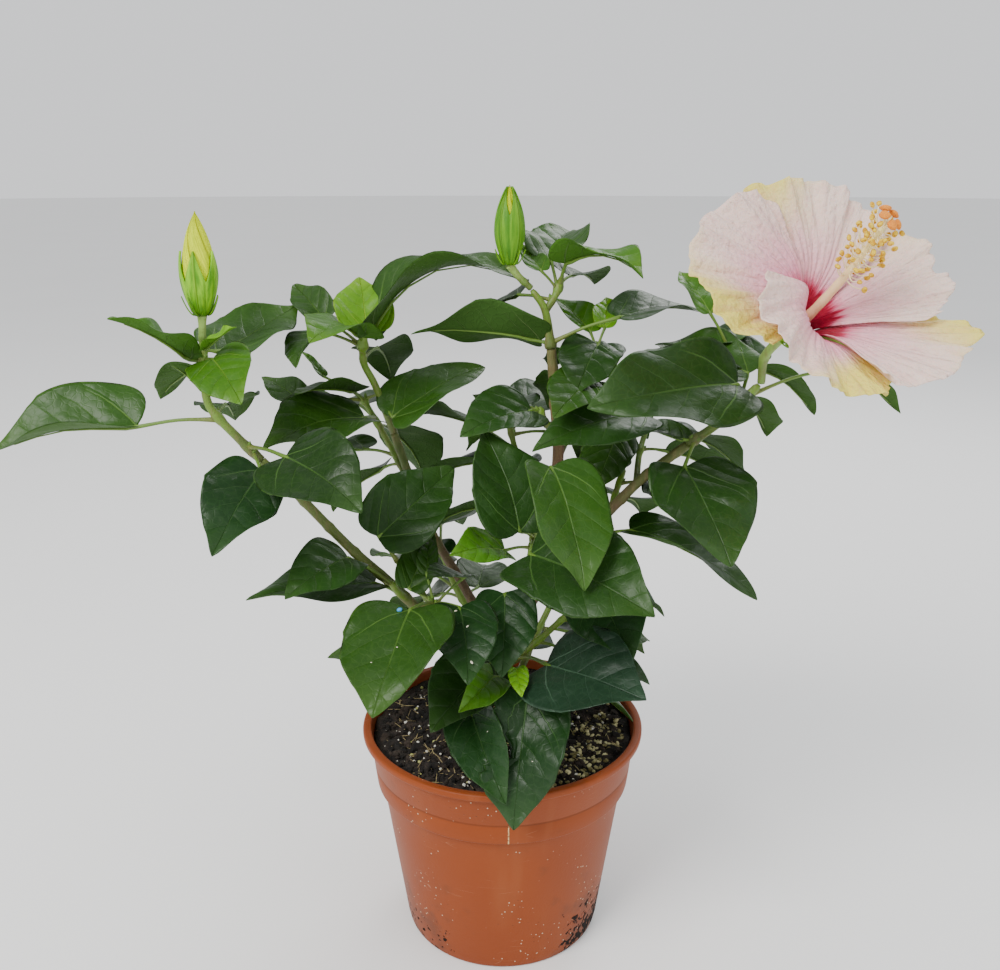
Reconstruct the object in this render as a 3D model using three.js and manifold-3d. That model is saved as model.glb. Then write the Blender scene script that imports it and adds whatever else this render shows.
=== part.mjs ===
// Hibiscus in a nursery pot: a young shrub of four canes, with one open flower and two buds.
// Millimetres, +Z up. The origin is the middle of the pot's flat underside, X runs to the
// right and Y away from the viewer, on whose side the pot shows the seam of its mould.
import * as THREE from 'three';
import { mergeVertices } from 'three/addons/utils/BufferGeometryUtils.js';
import Module from 'manifold-3d';

const wasm = await Module();
wasm.setup();

// Driving dimensions of the pot and its soil
const POT_HEIGHT = 110;
const POT_FOOT_RADIUS = 49.5;
const POT_STEP_HEIGHT = 80;
const POT_STEP_RADIUS = 61;
const POT_BAND_RADIUS = 63.5;
const POT_BAND_TOP_RADIUS = 66.5;
const POT_LIP_RADIUS = 70;
const POT_LIP_HEIGHT = 3.5;
const POT_WALL = 1.6;
const POT_SIDES = 36;
const DRAIN_HOLES = 8;
const DRAIN_RING_RADIUS = 34;
const DRAIN_HOLE_RADIUS = 4.5;
const SOIL_TOP = 104;
const SOIL_EDGE_RISE = 1.5;
const SOIL_FLAT_RADIUS = 14;

// Driving dimensions of the canes and leaves
const GAP = 0.3;
const TRUNK_FOOT_RADIUS = 7;
const CANE_SIDES = 7;
const SHOOT_SIDES = 5;
const CANE_STEP = 12;
const STALK_RADIUS = 1.1;
const STALK_END_RADIUS = 0.75;
const LEAF_THICKNESS = 0.9;
const LEAF_STATIONS = [0.05, 0.27, 0.55, 0.83];
const LEAF_BASE_SWEEP = 0.16;
const TIP_NARROWING = 0.4;
const SHARP_TURN = 0.3;
const LEAF_SPACING = 6.5;
const FILL_SEED = 4711;
const FILL_TRIES = 60;

// Driving dimensions of the flower and the buds
const FLOWER_SEAT = [116.5, -42.5, 310.7];
const FLOWER_HEADING = -45;
const FLOWER_PITCH = 36;
const PETAL_LENGTHS = [67, 61, 63, 66, 59];
const PETAL_THICKNESS = 0.8;
const PETAL_SPREAD = 47;
const PETAL_FOOT_SPREAD = 33;
const PETAL_TILT = -3.6;
const PETAL_CURLED = 4;
const PETAL_CURLED_SPREAD = 62;
const PETAL_CURL_LIFT = 9;
const PETAL_FIRST_ANGLE = 145;
const PETAL_OPENNESS = [104, 69, 46, 43, 77];
const PETAL_STEP = 72;
const RUFFLES = 14;
const RUFFLE_HEIGHT = 2;
const SEPALS = 5;
const SEPAL_LENGTH = 27;
const COLUMN_LENGTH = 56;
const COLUMN_RISE = 14;
const STAMENS = 20;
const GOLDEN_ANGLE = 137.5;

const radians = THREE.MathUtils.degToRad;
const vector = ([x, y, z]) => new THREE.Vector3(x, y, z);
const mix = (a, b, share) => a + (b - a) * share;
const shifted = (point, way, distance) => point.clone().addScaledVector(way, distance);

function direction(heading, rise) {
  const flat = Math.cos(radians(rise));
  const turn = radians(heading);
  return new THREE.Vector3(Math.cos(turn) * flat, Math.sin(turn) * flat, Math.sin(radians(rise)));
}

// The level side way and the upward way that go with a heading and a rise
function frameOf(heading, rise) {
  const forward = direction(heading, rise);
  const side = direction(heading + 90, 0);
  return { forward, side, up: new THREE.Vector3().crossVectors(forward, side) };
}

// Solids: a closed three.js geometry, with its doubled points merged, for joining and cutting
function solidOf(geometry) {
  geometry.deleteAttribute('normal');
  geometry.deleteAttribute('uv');
  const merged = mergeVertices(geometry);
  return new wasm.Manifold(new wasm.Mesh({
    numProp: 3,
    vertProperties: new Float32Array(merged.attributes.position.array),
    triVerts: new Uint32Array(merged.index.array),
  }));
}

function geometryOf(solid) {
  const { vertProperties, triVerts } = solid.getMesh();
  const geometry = new THREE.BufferGeometry();
  geometry.setAttribute('position', new THREE.BufferAttribute(vertProperties, 3));
  geometry.setIndex(new THREE.BufferAttribute(triVerts, 1));
  geometry.computeVertexNormals();
  return geometry;
}

function indexedSolid(points, faces) {
  const geometry = new THREE.BufferGeometry();
  geometry.setFromPoints(points);
  geometry.setIndex(faces);
  return solidOf(geometry);
}

// A skin through rings that run round the way of travel, closed by a point at each end. A
// leaf's two faces are split along the same lines, or a strong curl would let them cross
function loft(rings, start, end, alike = false) {
  const count = rings[0].length;
  const points = [...rings.flat(), start, end];
  const startIndex = points.length - 2;
  const endIndex = points.length - 1;
  const last = (rings.length - 1) * count;
  const faces = [];
  for (let side = 0; side < count; side++) {
    const next = (side + 1) % count;
    faces.push(startIndex, next, side, endIndex, last + side, last + next);
    for (let level = 0; level < last; level += count) {
      const [here, beside] = [level + side, level + next];
      const [above, across] = [here + count, beside + count];
      if (alike && side % 2 === 0) faces.push(here, beside, above, beside, across, above);
      else faces.push(here, beside, across, here, across, above);
    }
  }
  return indexedSolid(points, faces);
}

// A thin sheet with a thickness: pointAt gives its middle surface for two shares from 0 to 1
function sheet(pointAt, rows, columns, thickness) {
  const points = [];
  const step = 0.01;
  for (const face of [0.5, -0.5]) {
    for (let row = 0; row <= rows; row++) {
      for (let column = 0; column <= columns; column++) {
        const along = row / rows;
        const across = column / columns;
        const alongWay = pointAt(along + step, across).sub(pointAt(along - step, across));
        const acrossWay = pointAt(along, across + step).sub(pointAt(along, across - step));
        const normal = alongWay.cross(acrossWay).normalize();
        points.push(pointAt(along, across).addScaledVector(normal, face * thickness));
      }
    }
  }
  const width = columns + 1;
  const under = (rows + 1) * width;
  const faces = [];
  const quad = (a, b, c, d) => faces.push(a, b, c, a, c, d);
  for (let row = 0; row < rows; row++) {
    for (let column = 0; column < columns; column++) {
      const corner = row * width + column;
      quad(corner, corner + width, corner + width + 1, corner + 1);
      quad(under + corner, under + corner + 1, under + corner + width + 1, under + corner + width);
    }
    const left = row * width;
    const right = left + columns;
    quad(left, under + left, under + left + width, left + width);
    quad(right, right + width, under + right + width, under + right);
  }
  for (let column = 0; column < columns; column++) {
    const near = column;
    const far = rows * width + column;
    quad(near, near + 1, under + near + 1, under + near);
    quad(far, under + far, under + far + 1, far + 1);
  }
  return indexedSolid(points, faces);
}

const caneCurve = (points) => new THREE.CatmullRomCurve3(points, false, 'catmullrom', 0.5);

// A round limb along a smooth curve, from one radius to another, with flat ends
function cane(points, footRadius, tipRadius, sides, steps) {
  const curve = caneCurve(points);
  const count = steps ?? Math.max(3, Math.round(curve.getLength() / CANE_STEP));
  const frames = curve.computeFrenetFrames(count, false);
  const rings = [];
  for (let level = 0; level <= count; level++) {
    const radius = mix(footRadius, tipRadius, level / count);
    const centre = curve.getPointAt(level / count);
    const ring = [];
    for (let side = 0; side < sides; side++) {
      const turn = (2 * Math.PI * side) / sides;
      const outward = frames.normals[level].clone().multiplyScalar(Math.cos(turn));
      outward.addScaledVector(frames.binormals[level], Math.sin(turn));
      ring.push(shifted(centre, outward, radius));
    }
    rings.push(ring);
  }
  return loft(rings, curve.getPointAt(0), curve.getPointAt(1));
}

// Joining leaves out the closed hollows between the solids, and cutting the loose scraps
const mainBody = (solid) => solid.decompose().reduce((a, b) => (a.volume() > b.volume() ? a : b));
const joined = (solids) => {
  const whole = solids.reduce((sum, solid) => sum.add(solid));
  return whole.decompose().filter((part) => part.volume() > 0).reduce((sum, part) => sum.add(part));
};
const cut = (solid, tools) => mainBody(tools.reduce((rest, tool) => rest.subtract(tool), solid));

// The assembly
const hibiscus = new THREE.Group();
hibiscus.name = 'hibiscus';

function addPiece(name, solid, colour, roughness) {
  const material = new THREE.MeshStandardMaterial({ color: colour, roughness, metalness: 0 });
  const piece = new THREE.Mesh(geometryOf(solid), material);
  piece.name = name;
  hibiscus.add(piece);
}

const TERRACOTTA = 0xa55f38;
const COMPOST = 0x1f1a16;
const BARK = 0x7c6a3c;
const GREEN_CANE = 0x86a05a;
const LEAF_GREEN = 0x24512a;
const YOUNG_GREEN = 0x4d8a2c;
const PETAL_PINK = 0xf0d9d6;
const PETAL_YELLOW = 0xeede4a;
const COLUMN_CREAM = 0xeed79c;
const CALYX_GREEN = 0x86b83c;

// Pot: one moulded shell with a stepped band, a rolled lip and drain holes in its floor
function potSolid() {
  const inner = (radius) => radius - POT_WALL;
  const lipUnderside = POT_HEIGHT - POT_LIP_HEIGHT;
  const outline = [
    [0, 0], [POT_FOOT_RADIUS - 1.5, 0], [POT_FOOT_RADIUS, 1.5],
    [POT_STEP_RADIUS, POT_STEP_HEIGHT], [POT_BAND_RADIUS, POT_STEP_HEIGHT + 1],
    [POT_BAND_TOP_RADIUS, lipUnderside - 1], [POT_LIP_RADIUS - 0.8, lipUnderside],
    [POT_LIP_RADIUS, lipUnderside + 1], [POT_LIP_RADIUS, POT_HEIGHT - 1],
    [POT_LIP_RADIUS - 1, POT_HEIGHT], [POT_BAND_TOP_RADIUS - 0.4, POT_HEIGHT],
    [inner(POT_BAND_TOP_RADIUS), lipUnderside], [inner(POT_BAND_RADIUS), POT_STEP_HEIGHT + 2.5],
    [inner(POT_STEP_RADIUS), POT_STEP_HEIGHT], [inner(POT_FOOT_RADIUS), POT_WALL], [0, POT_WALL],
  ];
  const profile = outline.map(([radius, height]) => new THREE.Vector2(radius, height));
  const shell = new THREE.LatheGeometry(profile, POT_SIDES).rotateX(Math.PI / 2);
  const holes = [];
  for (let hole = 0; hole < DRAIN_HOLES; hole++) {
    const place = direction((360 / DRAIN_HOLES) * (hole + 0.5), 0).multiplyScalar(DRAIN_RING_RADIUS);
    const drill = new THREE.CylinderGeometry(DRAIN_HOLE_RADIUS, DRAIN_HOLE_RADIUS, 4 * POT_WALL, 8);
    holes.push(solidOf(drill.rotateX(Math.PI / 2).translate(place.x, place.y, 0)));
  }
  return cut(solidOf(shell), holes);
}
addPiece('pot', potSolid(), TERRACOTTA, 0.6);

// Soil: fills the pot to a little under its lip, level round the stem and heaped a little at the wall
function soilSolid() {
  const clear = GAP + 0.1;
  const inside = (radius) => radius - POT_WALL - clear;
  const floor = POT_WALL + clear;
  const step = POT_STEP_HEIGHT;
  const outline = [
    [0, floor], [inside(POT_FOOT_RADIUS) - 1, floor], [inside(POT_STEP_RADIUS), step],
    [inside(POT_BAND_RADIUS), step + 3],
    [inside(POT_BAND_TOP_RADIUS) - 0.2, SOIL_TOP + SOIL_EDGE_RISE],
    [0.6 * POT_BAND_RADIUS, SOIL_TOP + 0.3 * SOIL_EDGE_RISE], [SOIL_FLAT_RADIUS, SOIL_TOP],
    [0, SOIL_TOP],
  ];
  const profile = outline.map(([radius, height]) => new THREE.Vector2(radius, height));
  return solidOf(new THREE.LatheGeometry(profile, POT_SIDES).rotateX(Math.PI / 2));
}
addPiece('soil', soilSolid(), COMPOST, 0.95);

// Trunk: a short woody stem with a flared foot, from the soil to its fork
const TRUNK_PATH = [[8, 5, SOIL_TOP + GAP], [4, 5, 113], [1.5, 5, 124], [1, 5, 134]];
const TRUNK_RADII = [TRUNK_FOOT_RADIUS, 4.8, 4.3, 4.1];

function trunkSolid(extra) {
  const curve = caneCurve(TRUNK_PATH.map(vector));
  const rings = TRUNK_PATH.map(([, , height], level) => {
    const centre = curve.getPoint(level / (TRUNK_PATH.length - 1));
    const ring = [];
    for (let side = 0; side < CANE_SIDES; side++) {
      const turn = (360 / CANE_SIDES) * side;
      const root = level === 0 ? 1 + 0.18 * Math.cos(radians(3 * turn + 40)) : 1;
      const spot = shifted(centre, direction(turn, 0), TRUNK_RADII[level] * root + extra);
      ring.push(spot.setZ(height));
    }
    return ring;
  });
  const start = vector(TRUNK_PATH[0]);
  const end = vector(TRUNK_PATH[TRUNK_PATH.length - 1]);
  return loft(rings, start, end);
}
addPiece('trunk', trunkSolid(0), BARK, 0.85);

// Boughs: four canes from the fork, each [name, path, foot radius, tip radius]
const BOUGHS = [
  ['bough_centre', [[1, 5, 134.3], [4, 5, 145], [12, 5, 170], [18, 5, 193], [26, 5, 241],
    [24, 0, 274], [22, 0, 297.7]], 3.7, 2.2],
  ['bough_left', [[-1, 3, 128], [-6, 0, 133], [-28, -6, 157], [-49, -10, 183], [-71, -15, 207],
    [-96, -20, 238], [-107.8, -21, 250.7]], 2.8, 2],
  ['bough_centre_left', [[2, 6, 140], [-5, 10, 150], [-22, 16, 180], [-36, 20, 204],
    [-48, 25, 236], [-53, 25, 251.7]], 2.4, 2],
  ['bough_right', [[11, 5, 165], [27, -5, 197], [43, -10, 216], [63, -15, 240],
    [82.8, -18.9, 257.7]], 2.6, 2.1],
];
const limbTools = [trunkSolid(GAP)];
const limbSpots = [];
for (const [name, path, foot, tip] of BOUGHS) {
  const points = path.map(vector);
  addPiece(name, cut(cane(points, foot, tip, CANE_SIDES), limbTools), BARK, 0.8);
  limbTools.push(cane(points, foot + GAP, tip + GAP, CANE_SIDES));
  limbSpots.push(...caneCurve(points).getPoints(40));
}

// Pruned stub: an old shoot on the left cane, cut off square above its first joint
const STUB_PATH = [[-26, -5.5, 155], [-32, -13, 166], [-37, -18, 178]];
addPiece('pruned_stub', cut(cane(STUB_PATH.map(vector), 2, 2.2, CANE_SIDES), limbTools), GREEN_CANE, 0.7);

// Foliage: each mass is one or two green shoots and the leaves on them. A shoot is
// [path, foot radius, tip radius, leaves, filling]. A leaf is [share of the shoot, heading and
// rise of its stalk, stalk, blade, pitch of the blade, turn from the stalk, roll, curl, width
// over length, fold], in degrees and millimetres. The filling is [count, lowest and highest
// heading, lowest and highest rise, shortest and longest blade].
const FOLIAGE = [
  ['foliage_left', [
    [[[-108, -21, 251], [-117, -22, 261], [-129, -22, 276], [-130, -22, 290], [-130, -22, 302]], 2, 1.7, [
      [0.4, 185, -4, 36, 64, -6, 0, -18, 20, 0.72, 34],
      [0.85, 180, 15, 6, 48, 30, 65, -10, 15, 0.42, 30],
      [0.7, 210, -10, 4, 22, 35, 40, 0, 10, 0.4, 20],
      [0.88, 315, 10, 8, 36, -20, -10, 25, 25, 0.8, 14],
      [0.97, 30, -10, 6, 58, 16, 30, 15, -15, 0.6, 14],
      [0.98, 295, 10, 7, 24, 28, 25, 30, 10, 0.35, 30],
      [0.17, 320, 0, 27, 56, -10, -5, 30, 25, 0.72, 14],
      [0.1, 298, -25, 13, 52, -25, -42, -15, 15, 0.68, 16],
    ], [2, 60, 130, 0, 40, 30, 46]],
  ]],
  ['foliage_left_low', [
    [[[-44, -9, 178], [-49, -14, 184], [-52, -18, 191]], 1.8, 1.4, [
      [0.9, 200, 38, 26, 41, -10, 36, -25, 45, 0.7, 14],
      [0.5, 172, 20, 12, 62, 5, 38, -10, 15, 0.55, 14],
    ], [0, 0, 0, 0, 0, 0, 0]],
  ]],
  ['foliage_centre_left', [
    [[[-53, 25, 252], [-61, 22, 276], [-66, 20, 288], [-65, 15, 302]], 2, 1.5, [
      [0.85, 168, 34, 22, 34, 25, -40, -30, 10, 0.55, 25],
      [0.85, 180, 20, 22, 36, -18, 78, 20, 20, 0.6, 20],
      [0.89, 262, 36, 7, 42, 6, -20, -10, 60, 0.8, 14],
      [0.97, 300, 42, 5, 30, 51, 160, 0, 10, 0.95, 14],
      [0.96, 316, 30, 9, 86, 17, 44, 5, 100, 0.5, 20],
      [0.21, 300, -25, 13, 55, 22, 85, 20, 30, 0.65, 14],
    ], [3, 50, 140, 0, 40, 34, 48]],
  ]],
  ['foliage_back_left', [
    [[[-45, 26, 224], [-56, 36, 242], [-70, 42, 266]], 1.8, 1.3, [
      [0.79, 263, 15, 20, 60, -3, -37, -15, 30, 0.75, 14],
      [0.98, 186, 32, 23, 18, 40, -40, 0, 5, 0.4, 25],
      [0.98, 200, 0, 30, 32, 21, -60, -20, 10, 0.55, 14],
      [0.96, 250, 33, 13, 40, 10, -15, 10, 20, 0.65, 14],
      [0.98, 345, 18, 20, 30, 11, 60, 0, 10, 0.55, 14],
    ], [4, 60, 150, -25, 20, 38, 55]],
  ]],
  ['foliage_centre', [
    [[[22, 0, 298], [19, 0, 315], [13, 0, 324]], 2.2, 1.5, [
      [0.02, 150, 20, 6, 60, 6, 40, 35, 25, 0.6, 14],
      [0.06, 352, 22, 33, 46, 2, 36, 10, 25, 0.62, 14],
    ], [0, 0, 0, 0, 0, 0, 0]],
    [[[19, 0, 314], [24, 3, 322], [27, 6, 330]], 1.6, 1.2, [
      [0.6, 130, 70, 14, 44, 15, -54, 0, 20, 0.75, 25],
      [0.7, 290, 55, 13, 48, -2, 20, -5, 60, 0.6, 20],
      [0.6, 210, 45, 13, 22, 30, -90, 0, 10, 0.6, 14],
    ], [2, 50, 150, -10, 20, 34, 46]],
  ]],
  ['foliage_centre_mid', [
    [[[27, 7, 246], [38, 8, 272], [44, 12, 296]], 1.8, 1.3, [
      [0.98, 140, 65, 9, 36, 23, -20, 0, 15, 0.5, 25],
      [0.98, 35, 65, 11, 24, 31, 45, 0, 10, 0.55, 25],
      [0.98, 275, 40, 5, 40, -24, -25, -10, 20, 0.75, 14],
      [0.7, 265, 9, 22, 36, -15, -25, -20, 20, 0.75, 14],
      [0.56, 320, -9, 33, 62, -5, -110, -30, 25, 0.5, 14],
    ], [3, 40, 130, -20, 30, 38, 52]],
  ]],
  ['foliage_centre_inner', [
    [[[25.5, 3, 256], [20, 3, 263], [17, 2, 270]], 1.7, 1.3, [
      [0.85, 218, 12, 6, 42, -6, 0, -25, 25, 0.75, 14],
    ], [2, 110, 190, -20, 20, 36, 50]],
  ]],
  ['foliage_front', [
    [[[5, 3, 148], [9, -16, 184], [14, -26, 215], [16, -30, 245]], 2.2, 1.4, [
      [0.68, 250, 25, 22, 50, 53, -134, 0, 20, 0.8, 14],
      [0.98, 282, 32, 24, 58, -43, 7, -10, 25, 0.68, 14],
      [0.67, 265, 5, 26, 66, -8, 52, 30, 30, 0.75, 14],
      [0.62, 232, 13, 21, 34, 13, -6, -30, 25, 0.65, 14],
      [0.35, 225, 12, 12, 40, -45, 45, 0, 15, 0.75, 14],
    ], [0, 0, 0, 0, 0, 0, 0]],
  ]],
  ['foliage_front_left', [
    [[[-20, -3.8, 148.5], [-24, -15, 163], [-31, -24, 178], [-32, -27, 185]], 2, 1.4, [
      [0.85, 15, 41, 20, 26, 16, -145, 0, 20, 0.8, 14],
      [0.98, 171, 28, 13, 30, 43, -108, 25, 10, 0.65, 20],
      [0.98, 146, 75, 14, 20, 40, -60, 0, 10, 0.5, 20],
      [0.97, 250, 15, 26, 56, -27, 7, 0, 25, 0.84, 12],
      [0.97, 315, 10, 18, 42, -26, -34, 0, 20, 0.75, 14],
    ], [0, 0, 0, 0, 0, 0, 0]],
    [[[-31, -24, 178], [-40, -19, 190], [-50, -18, 203]], 1.5, 1.1, [
      [0.95, 220, 55, 17, 52, 28, 179, 35, 15, 0.72, 14],
    ], [0, 0, 0, 0, 0, 0, 0]],
  ]],
  ['foliage_front_low', [
    [[[6, 2, 113], [8, -15, 130], [2, -28, 146]], 1.9, 1.3, [
      [0.9, 166, 48, 13, 48, -19, 66, -20, 20, 0.75, 14],
      [0.98, 235, 30, 13, 32, -5, 7, -40, 30, 0.6, 30],
      [0.9, 222, -16, 25, 47, -32, 71, 30, 30, 0.64, 30],
      [0.88, 290, 12, 23, 59, -54, -32, 0, 20, 0.75, 14],
      [0.98, 286, 42, 20, 18, -16, -12, 0, 10, 0.55, 14],
      [0.9, 350, 14, 15, 26, -24, -75, -60, 15, 0.6, 14],
    ], [0, 0, 0, 0, 0, 0, 0]],
  ]],
  ['foliage_front_right', [
    [[[2, 3, 137], [20, -6, 158], [36, -10, 176]], 2, 1.4, [
      [0.15, 290, 20, 40, 56, 2, 24, 30, 25, 0.85, 12],
      [0.98, 336, 37, 13, 44, -19, -47, 20, 20, 0.86, 14],
    ], [3, 330, 400, -25, 10, 34, 46]],
  ]],
  ['foliage_right', [
    [[[83, -19, 258], [96, -25, 270], [110, -30, 287]], 2.1, 1.8, [
      [0.07, 204, 11, 5, 34, 2, -74, 0, 10, 0.65, 14],
      [0.82, 235, 40, 12, 70, -5, -34, -40, 25, 0.66, 14],
      [0.75, 54, 62, 14, 50, 10, 86, -20, 25, 0.6, 14],
      [0.85, 20, 12, 45, 46, -29, 3, 0, 20, 0.4, 14],
      [0.12, 235, -45, 15, 54, -34, 52, 0, 20, 0.9, 12],
    ], [0, 0, 0, 0, 0, 0, 0]],
    [[[92, -23, 266], [98, -12, 284], [102, -6, 298]], 1.5, 1.1, [
      [0.85, 40, 56, 9, 38, -11, 82, -10, 20, 0.7, 14],
      [0.75, 333, 5, 12, 42, 7, 152, -10, 20, 0.7, 14],
      [0.98, 180, 60, 20, 30, 34, -61, 0, 15, 0.6, 14],
    ], [4, 20, 130, -20, 20, 36, 52]],
  ]],
  ['foliage_right_low', [
    [[[41, -9.5, 214], [46, -8, 212], [51, -7, 211]], 1.6, 1.3, [
      [0.85, 8, 5, 11, 68, -22, -30, 0, 35, 0.55, 14],
    ], [0, 0, 0, 0, 0, 0, 0]],
  ]],
  ['foliage_right_mid', [
    [[[50, -11.7, 224], [53, -5, 231], [57, 1, 240]], 1.6, 1.2, [
      [0.7, 352, 5, 19, 34, -12, -71, 10, 15, 0.65, 14],
      [0.8, 100, 60, 20, 32, -36, 145, -10, 15, 0.82, 14],
    ], [2, 40, 110, -20, 10, 36, 50]],
  ]],
  ['foliage_back_low_left', [
    [[[0, 9, 122], [-12, 26, 146], [-26, 40, 168], [-34, 48, 188]], 2, 1.4, [
    ], [6, 60, 160, -15, 30, 42, 60]],
  ]],
  ['foliage_back_low_right', [
    [[[4, 9, 118], [16, 26, 140], [28, 38, 162], [36, 44, 184]], 2, 1.4, [
    ], [6, -10, 120, -30, 20, 42, 60]],
  ]],
  ['foliage_back_mid', [
    [[[17, 8, 194], [14, 26, 214], [8, 40, 234], [2, 48, 256]], 1.9, 1.3, [
    ], [7, 10, 200, -20, 30, 42, 60]],
  ]],
  ['foliage_back_right', [
    [[[61, -14.5, 237.5], [65, 6, 248], [72, 24, 260]], 1.6, 1.2, [
    ], [4, 0, 130, -20, 20, 38, 52]],
  ]],
];

// A leaf's place and measures, worked out from its line in the list
function leafFrom(curve, line) {
  const [share, heading, rise, stalk, blade, pitch, turn, roll, curl, width, fold] = line;
  const seat = curve.getPoint(share);
  const base = shifted(seat, direction(heading, rise), stalk);
  const { forward, side, up } = frameOf(heading + turn, pitch);
  const lean = radians(roll);
  return {
    seat, base, forward, blade, stalkWay: direction(heading, rise),
    side: side.clone().multiplyScalar(Math.cos(lean)).addScaledVector(up, Math.sin(lean)),
    up: up.clone().multiplyScalar(Math.cos(lean)).addScaledVector(side, -Math.sin(lean)),
    curl: radians(curl),
    fold: radians(fold),
    halfWidth: (blade * width) / 2,
  };
}

// A leaf's outline: round at the base, widest a third of the way up, drawn out to its tip
function outlineShare(share) {
  const drawnOut = 1 - TIP_NARROWING * THREE.MathUtils.smoothstep(share, 0.6, 0.98);
  return 2.147 * Math.pow(1 - share, 0.75) * Math.pow(share, 0.42) * drawnOut;
}

// A point of the blade: share runs from base to tip, across from -1 at one edge to 1
function bladePoint(leaf, share, across) {
  const { base, forward, side, up, blade, curl, fold, halfWidth } = leaf;
  const bend = curl * (0.5 - share);
  const ahead = (blade / curl) * (Math.sin(curl / 2) - Math.sin(bend));
  const arch = (blade / curl) * (Math.cos(bend) - Math.cos(curl / 2));
  const width = outlineShare(share) * halfWidth * across;
  const raised = Math.abs(width) * Math.sin(fold);
  const swept = LEAF_BASE_SWEEP * blade * Math.pow(1 - share, 2) * Math.abs(width / halfWidth);
  const point = shifted(base, forward, ahead - raised * Math.sin(bend) - swept * Math.cos(bend));
  point.addScaledVector(up, arch + raised * Math.cos(bend) - swept * Math.sin(bend));
  return point.addScaledVector(side, width * Math.cos(fold));
}

// Stalk and blade: rings of left, top, right and bottom points along the leaf make one skin,
// or two that are joined where the blade turns sharply back from its stalk
function leafSolid(leaf) {
  const { seat, base, side, up, forward } = leaf;
  const stalkRing = (centre, radius) => [
    shifted(centre, side, radius), shifted(centre, up, radius),
    shifted(centre, side, -radius), shifted(centre, up, -radius),
  ];
  const bladeRings = LEAF_STATIONS.map((share) => {
    const rib = bladePoint(leaf, share, 0);
    const half = (LEAF_THICKNESS / 2) * (1 - 0.3 * share);
    return [
      bladePoint(leaf, share, 1), shifted(rib, up, half),
      bladePoint(leaf, share, -1), shifted(rib, up, -half),
    ];
  });
  const tip = bladePoint(leaf, 1, 0);
  if (leaf.stalkWay.dot(forward) > SHARP_TURN) {
    const foot = [stalkRing(seat, STALK_RADIUS), stalkRing(base, STALK_END_RADIUS)];
    return loft([...foot, ...bladeRings], seat, tip, true);
  }
  const knee = shifted(base, leaf.stalkWay, 0.6);
  const stalk = cane([seat, seat.clone().lerp(knee, 0.5), knee], STALK_RADIUS, STALK_END_RADIUS, 4, 1);
  return stalk.add(loft(bladeRings, shifted(base, forward, -0.5), tip, true));
}

// Spots spread over a blade, which tell whether another leaf comes too close to it
function leafSpots(leaf) {
  const spots = [];
  for (let row = 0; row < 6; row++)
    for (let column = -2; column <= 2; column++)
      spots.push(bladePoint(leaf, 0.06 + 0.17 * row, 0.45 * column));
  return spots;
}

const isClear = (spots, others, space) =>
  spots.every((spot) => others.every((other) => spot.distanceTo(other) > space));

const shoots = FOLIAGE.flatMap(([name, parts]) => parts.map(([path, foot, tip, lines, filling]) => {
  const points = path.map(vector);
  const curve = caneCurve(points);
  const leaves = lines.map((line) => leafFrom(curve, line));
  return { name, points, curve, foot, tip, leaves, filling };
}));
const taken = [...limbSpots, ...shoots.flatMap(({ leaves }) => leaves.flatMap(leafSpots))];

// The leaves that fill a shoot, by a seeded rule: one that would touch a limb or another
// leaf, or reach down to the soil, is skipped and tried again elsewhere
const chance = (() => {
  let state = FILL_SEED;
  return (low, high) => {
    state = (state * 16807) % 2147483647;
    return low + (high - low) * (state / 2147483647);
  };
})();

for (const { curve, leaves, filling } of shoots) {
  const [count, headingFrom, headingTo, riseFrom, riseTo, shortest, longest] = filling;
  for (let attempt = 0, grown = 0; grown < count && attempt < FILL_TRIES; attempt++) {
    const blade = chance(shortest, longest);
    const rise = chance(riseFrom, riseTo);
    const line = [
      chance(0.2, 0.98), chance(headingFrom, headingTo), rise, blade * chance(0.25, 0.5), blade,
      rise * 0.4 - chance(5, 40), chance(-25, 25), chance(-25, 25), chance(12, 35),
      chance(0.62, 0.8), chance(10, 18),
    ];
    const leaf = leafFrom(curve, line);
    const spots = leafSpots(leaf);
    const overSoil = spots.every((spot) => spot.z > POT_HEIGHT + 3);
    if (!overSoil || !isClear(spots, taken, LEAF_SPACING)) continue;
    leaves.push(leaf);
    taken.push(...spots);
    grown++;
  }
}

for (const [name, parts] of FOLIAGE) {
  const own = shoots.filter((shoot) => shoot.name === name);
  const stems = own.map(({ points, foot, tip }, place) => {
    const stem = cane(points, foot, tip, SHOOT_SIDES);
    return place === 0 ? cut(stem, limbTools) : stem;
  });
  const blades = own.flatMap(({ leaves }) => leaves.map(leafSolid));
  addPiece(name, joined([...stems, ...blades]), LEAF_GREEN, 0.45);
}

// Flower: measured in its own frame, from its seat on the stalk along the way it faces
const flower = { seat: vector(FLOWER_SEAT), ...frameOf(FLOWER_HEADING, FLOWER_PITCH) };

function flowerPoint(radius, turn, height) {
  const spot = shifted(flower.seat, flower.forward, height);
  spot.addScaledVector(flower.side, radius * Math.cos(radians(turn)));
  return spot.addScaledVector(flower.up, radius * Math.sin(radians(turn)));
}

// Radius and height at a distance along a petal or sepal that leaves the cup steeply and opens
function openingArc(distance, foot, startAngle, endAngle, opensBy) {
  const steps = 24;
  let radius = foot.radius;
  let height = foot.height;
  for (let step = 0; step < steps; step++) {
    const run = ((step + 0.5) / steps) * distance;
    const open = THREE.MathUtils.smoothstep(run, 0, opensBy);
    const angle = radians(mix(startAngle, endAngle, open));
    radius += (Math.sin(angle) * distance) / steps;
    height += (Math.cos(angle) * distance) / steps;
  }
  return { radius, height };
}

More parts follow.
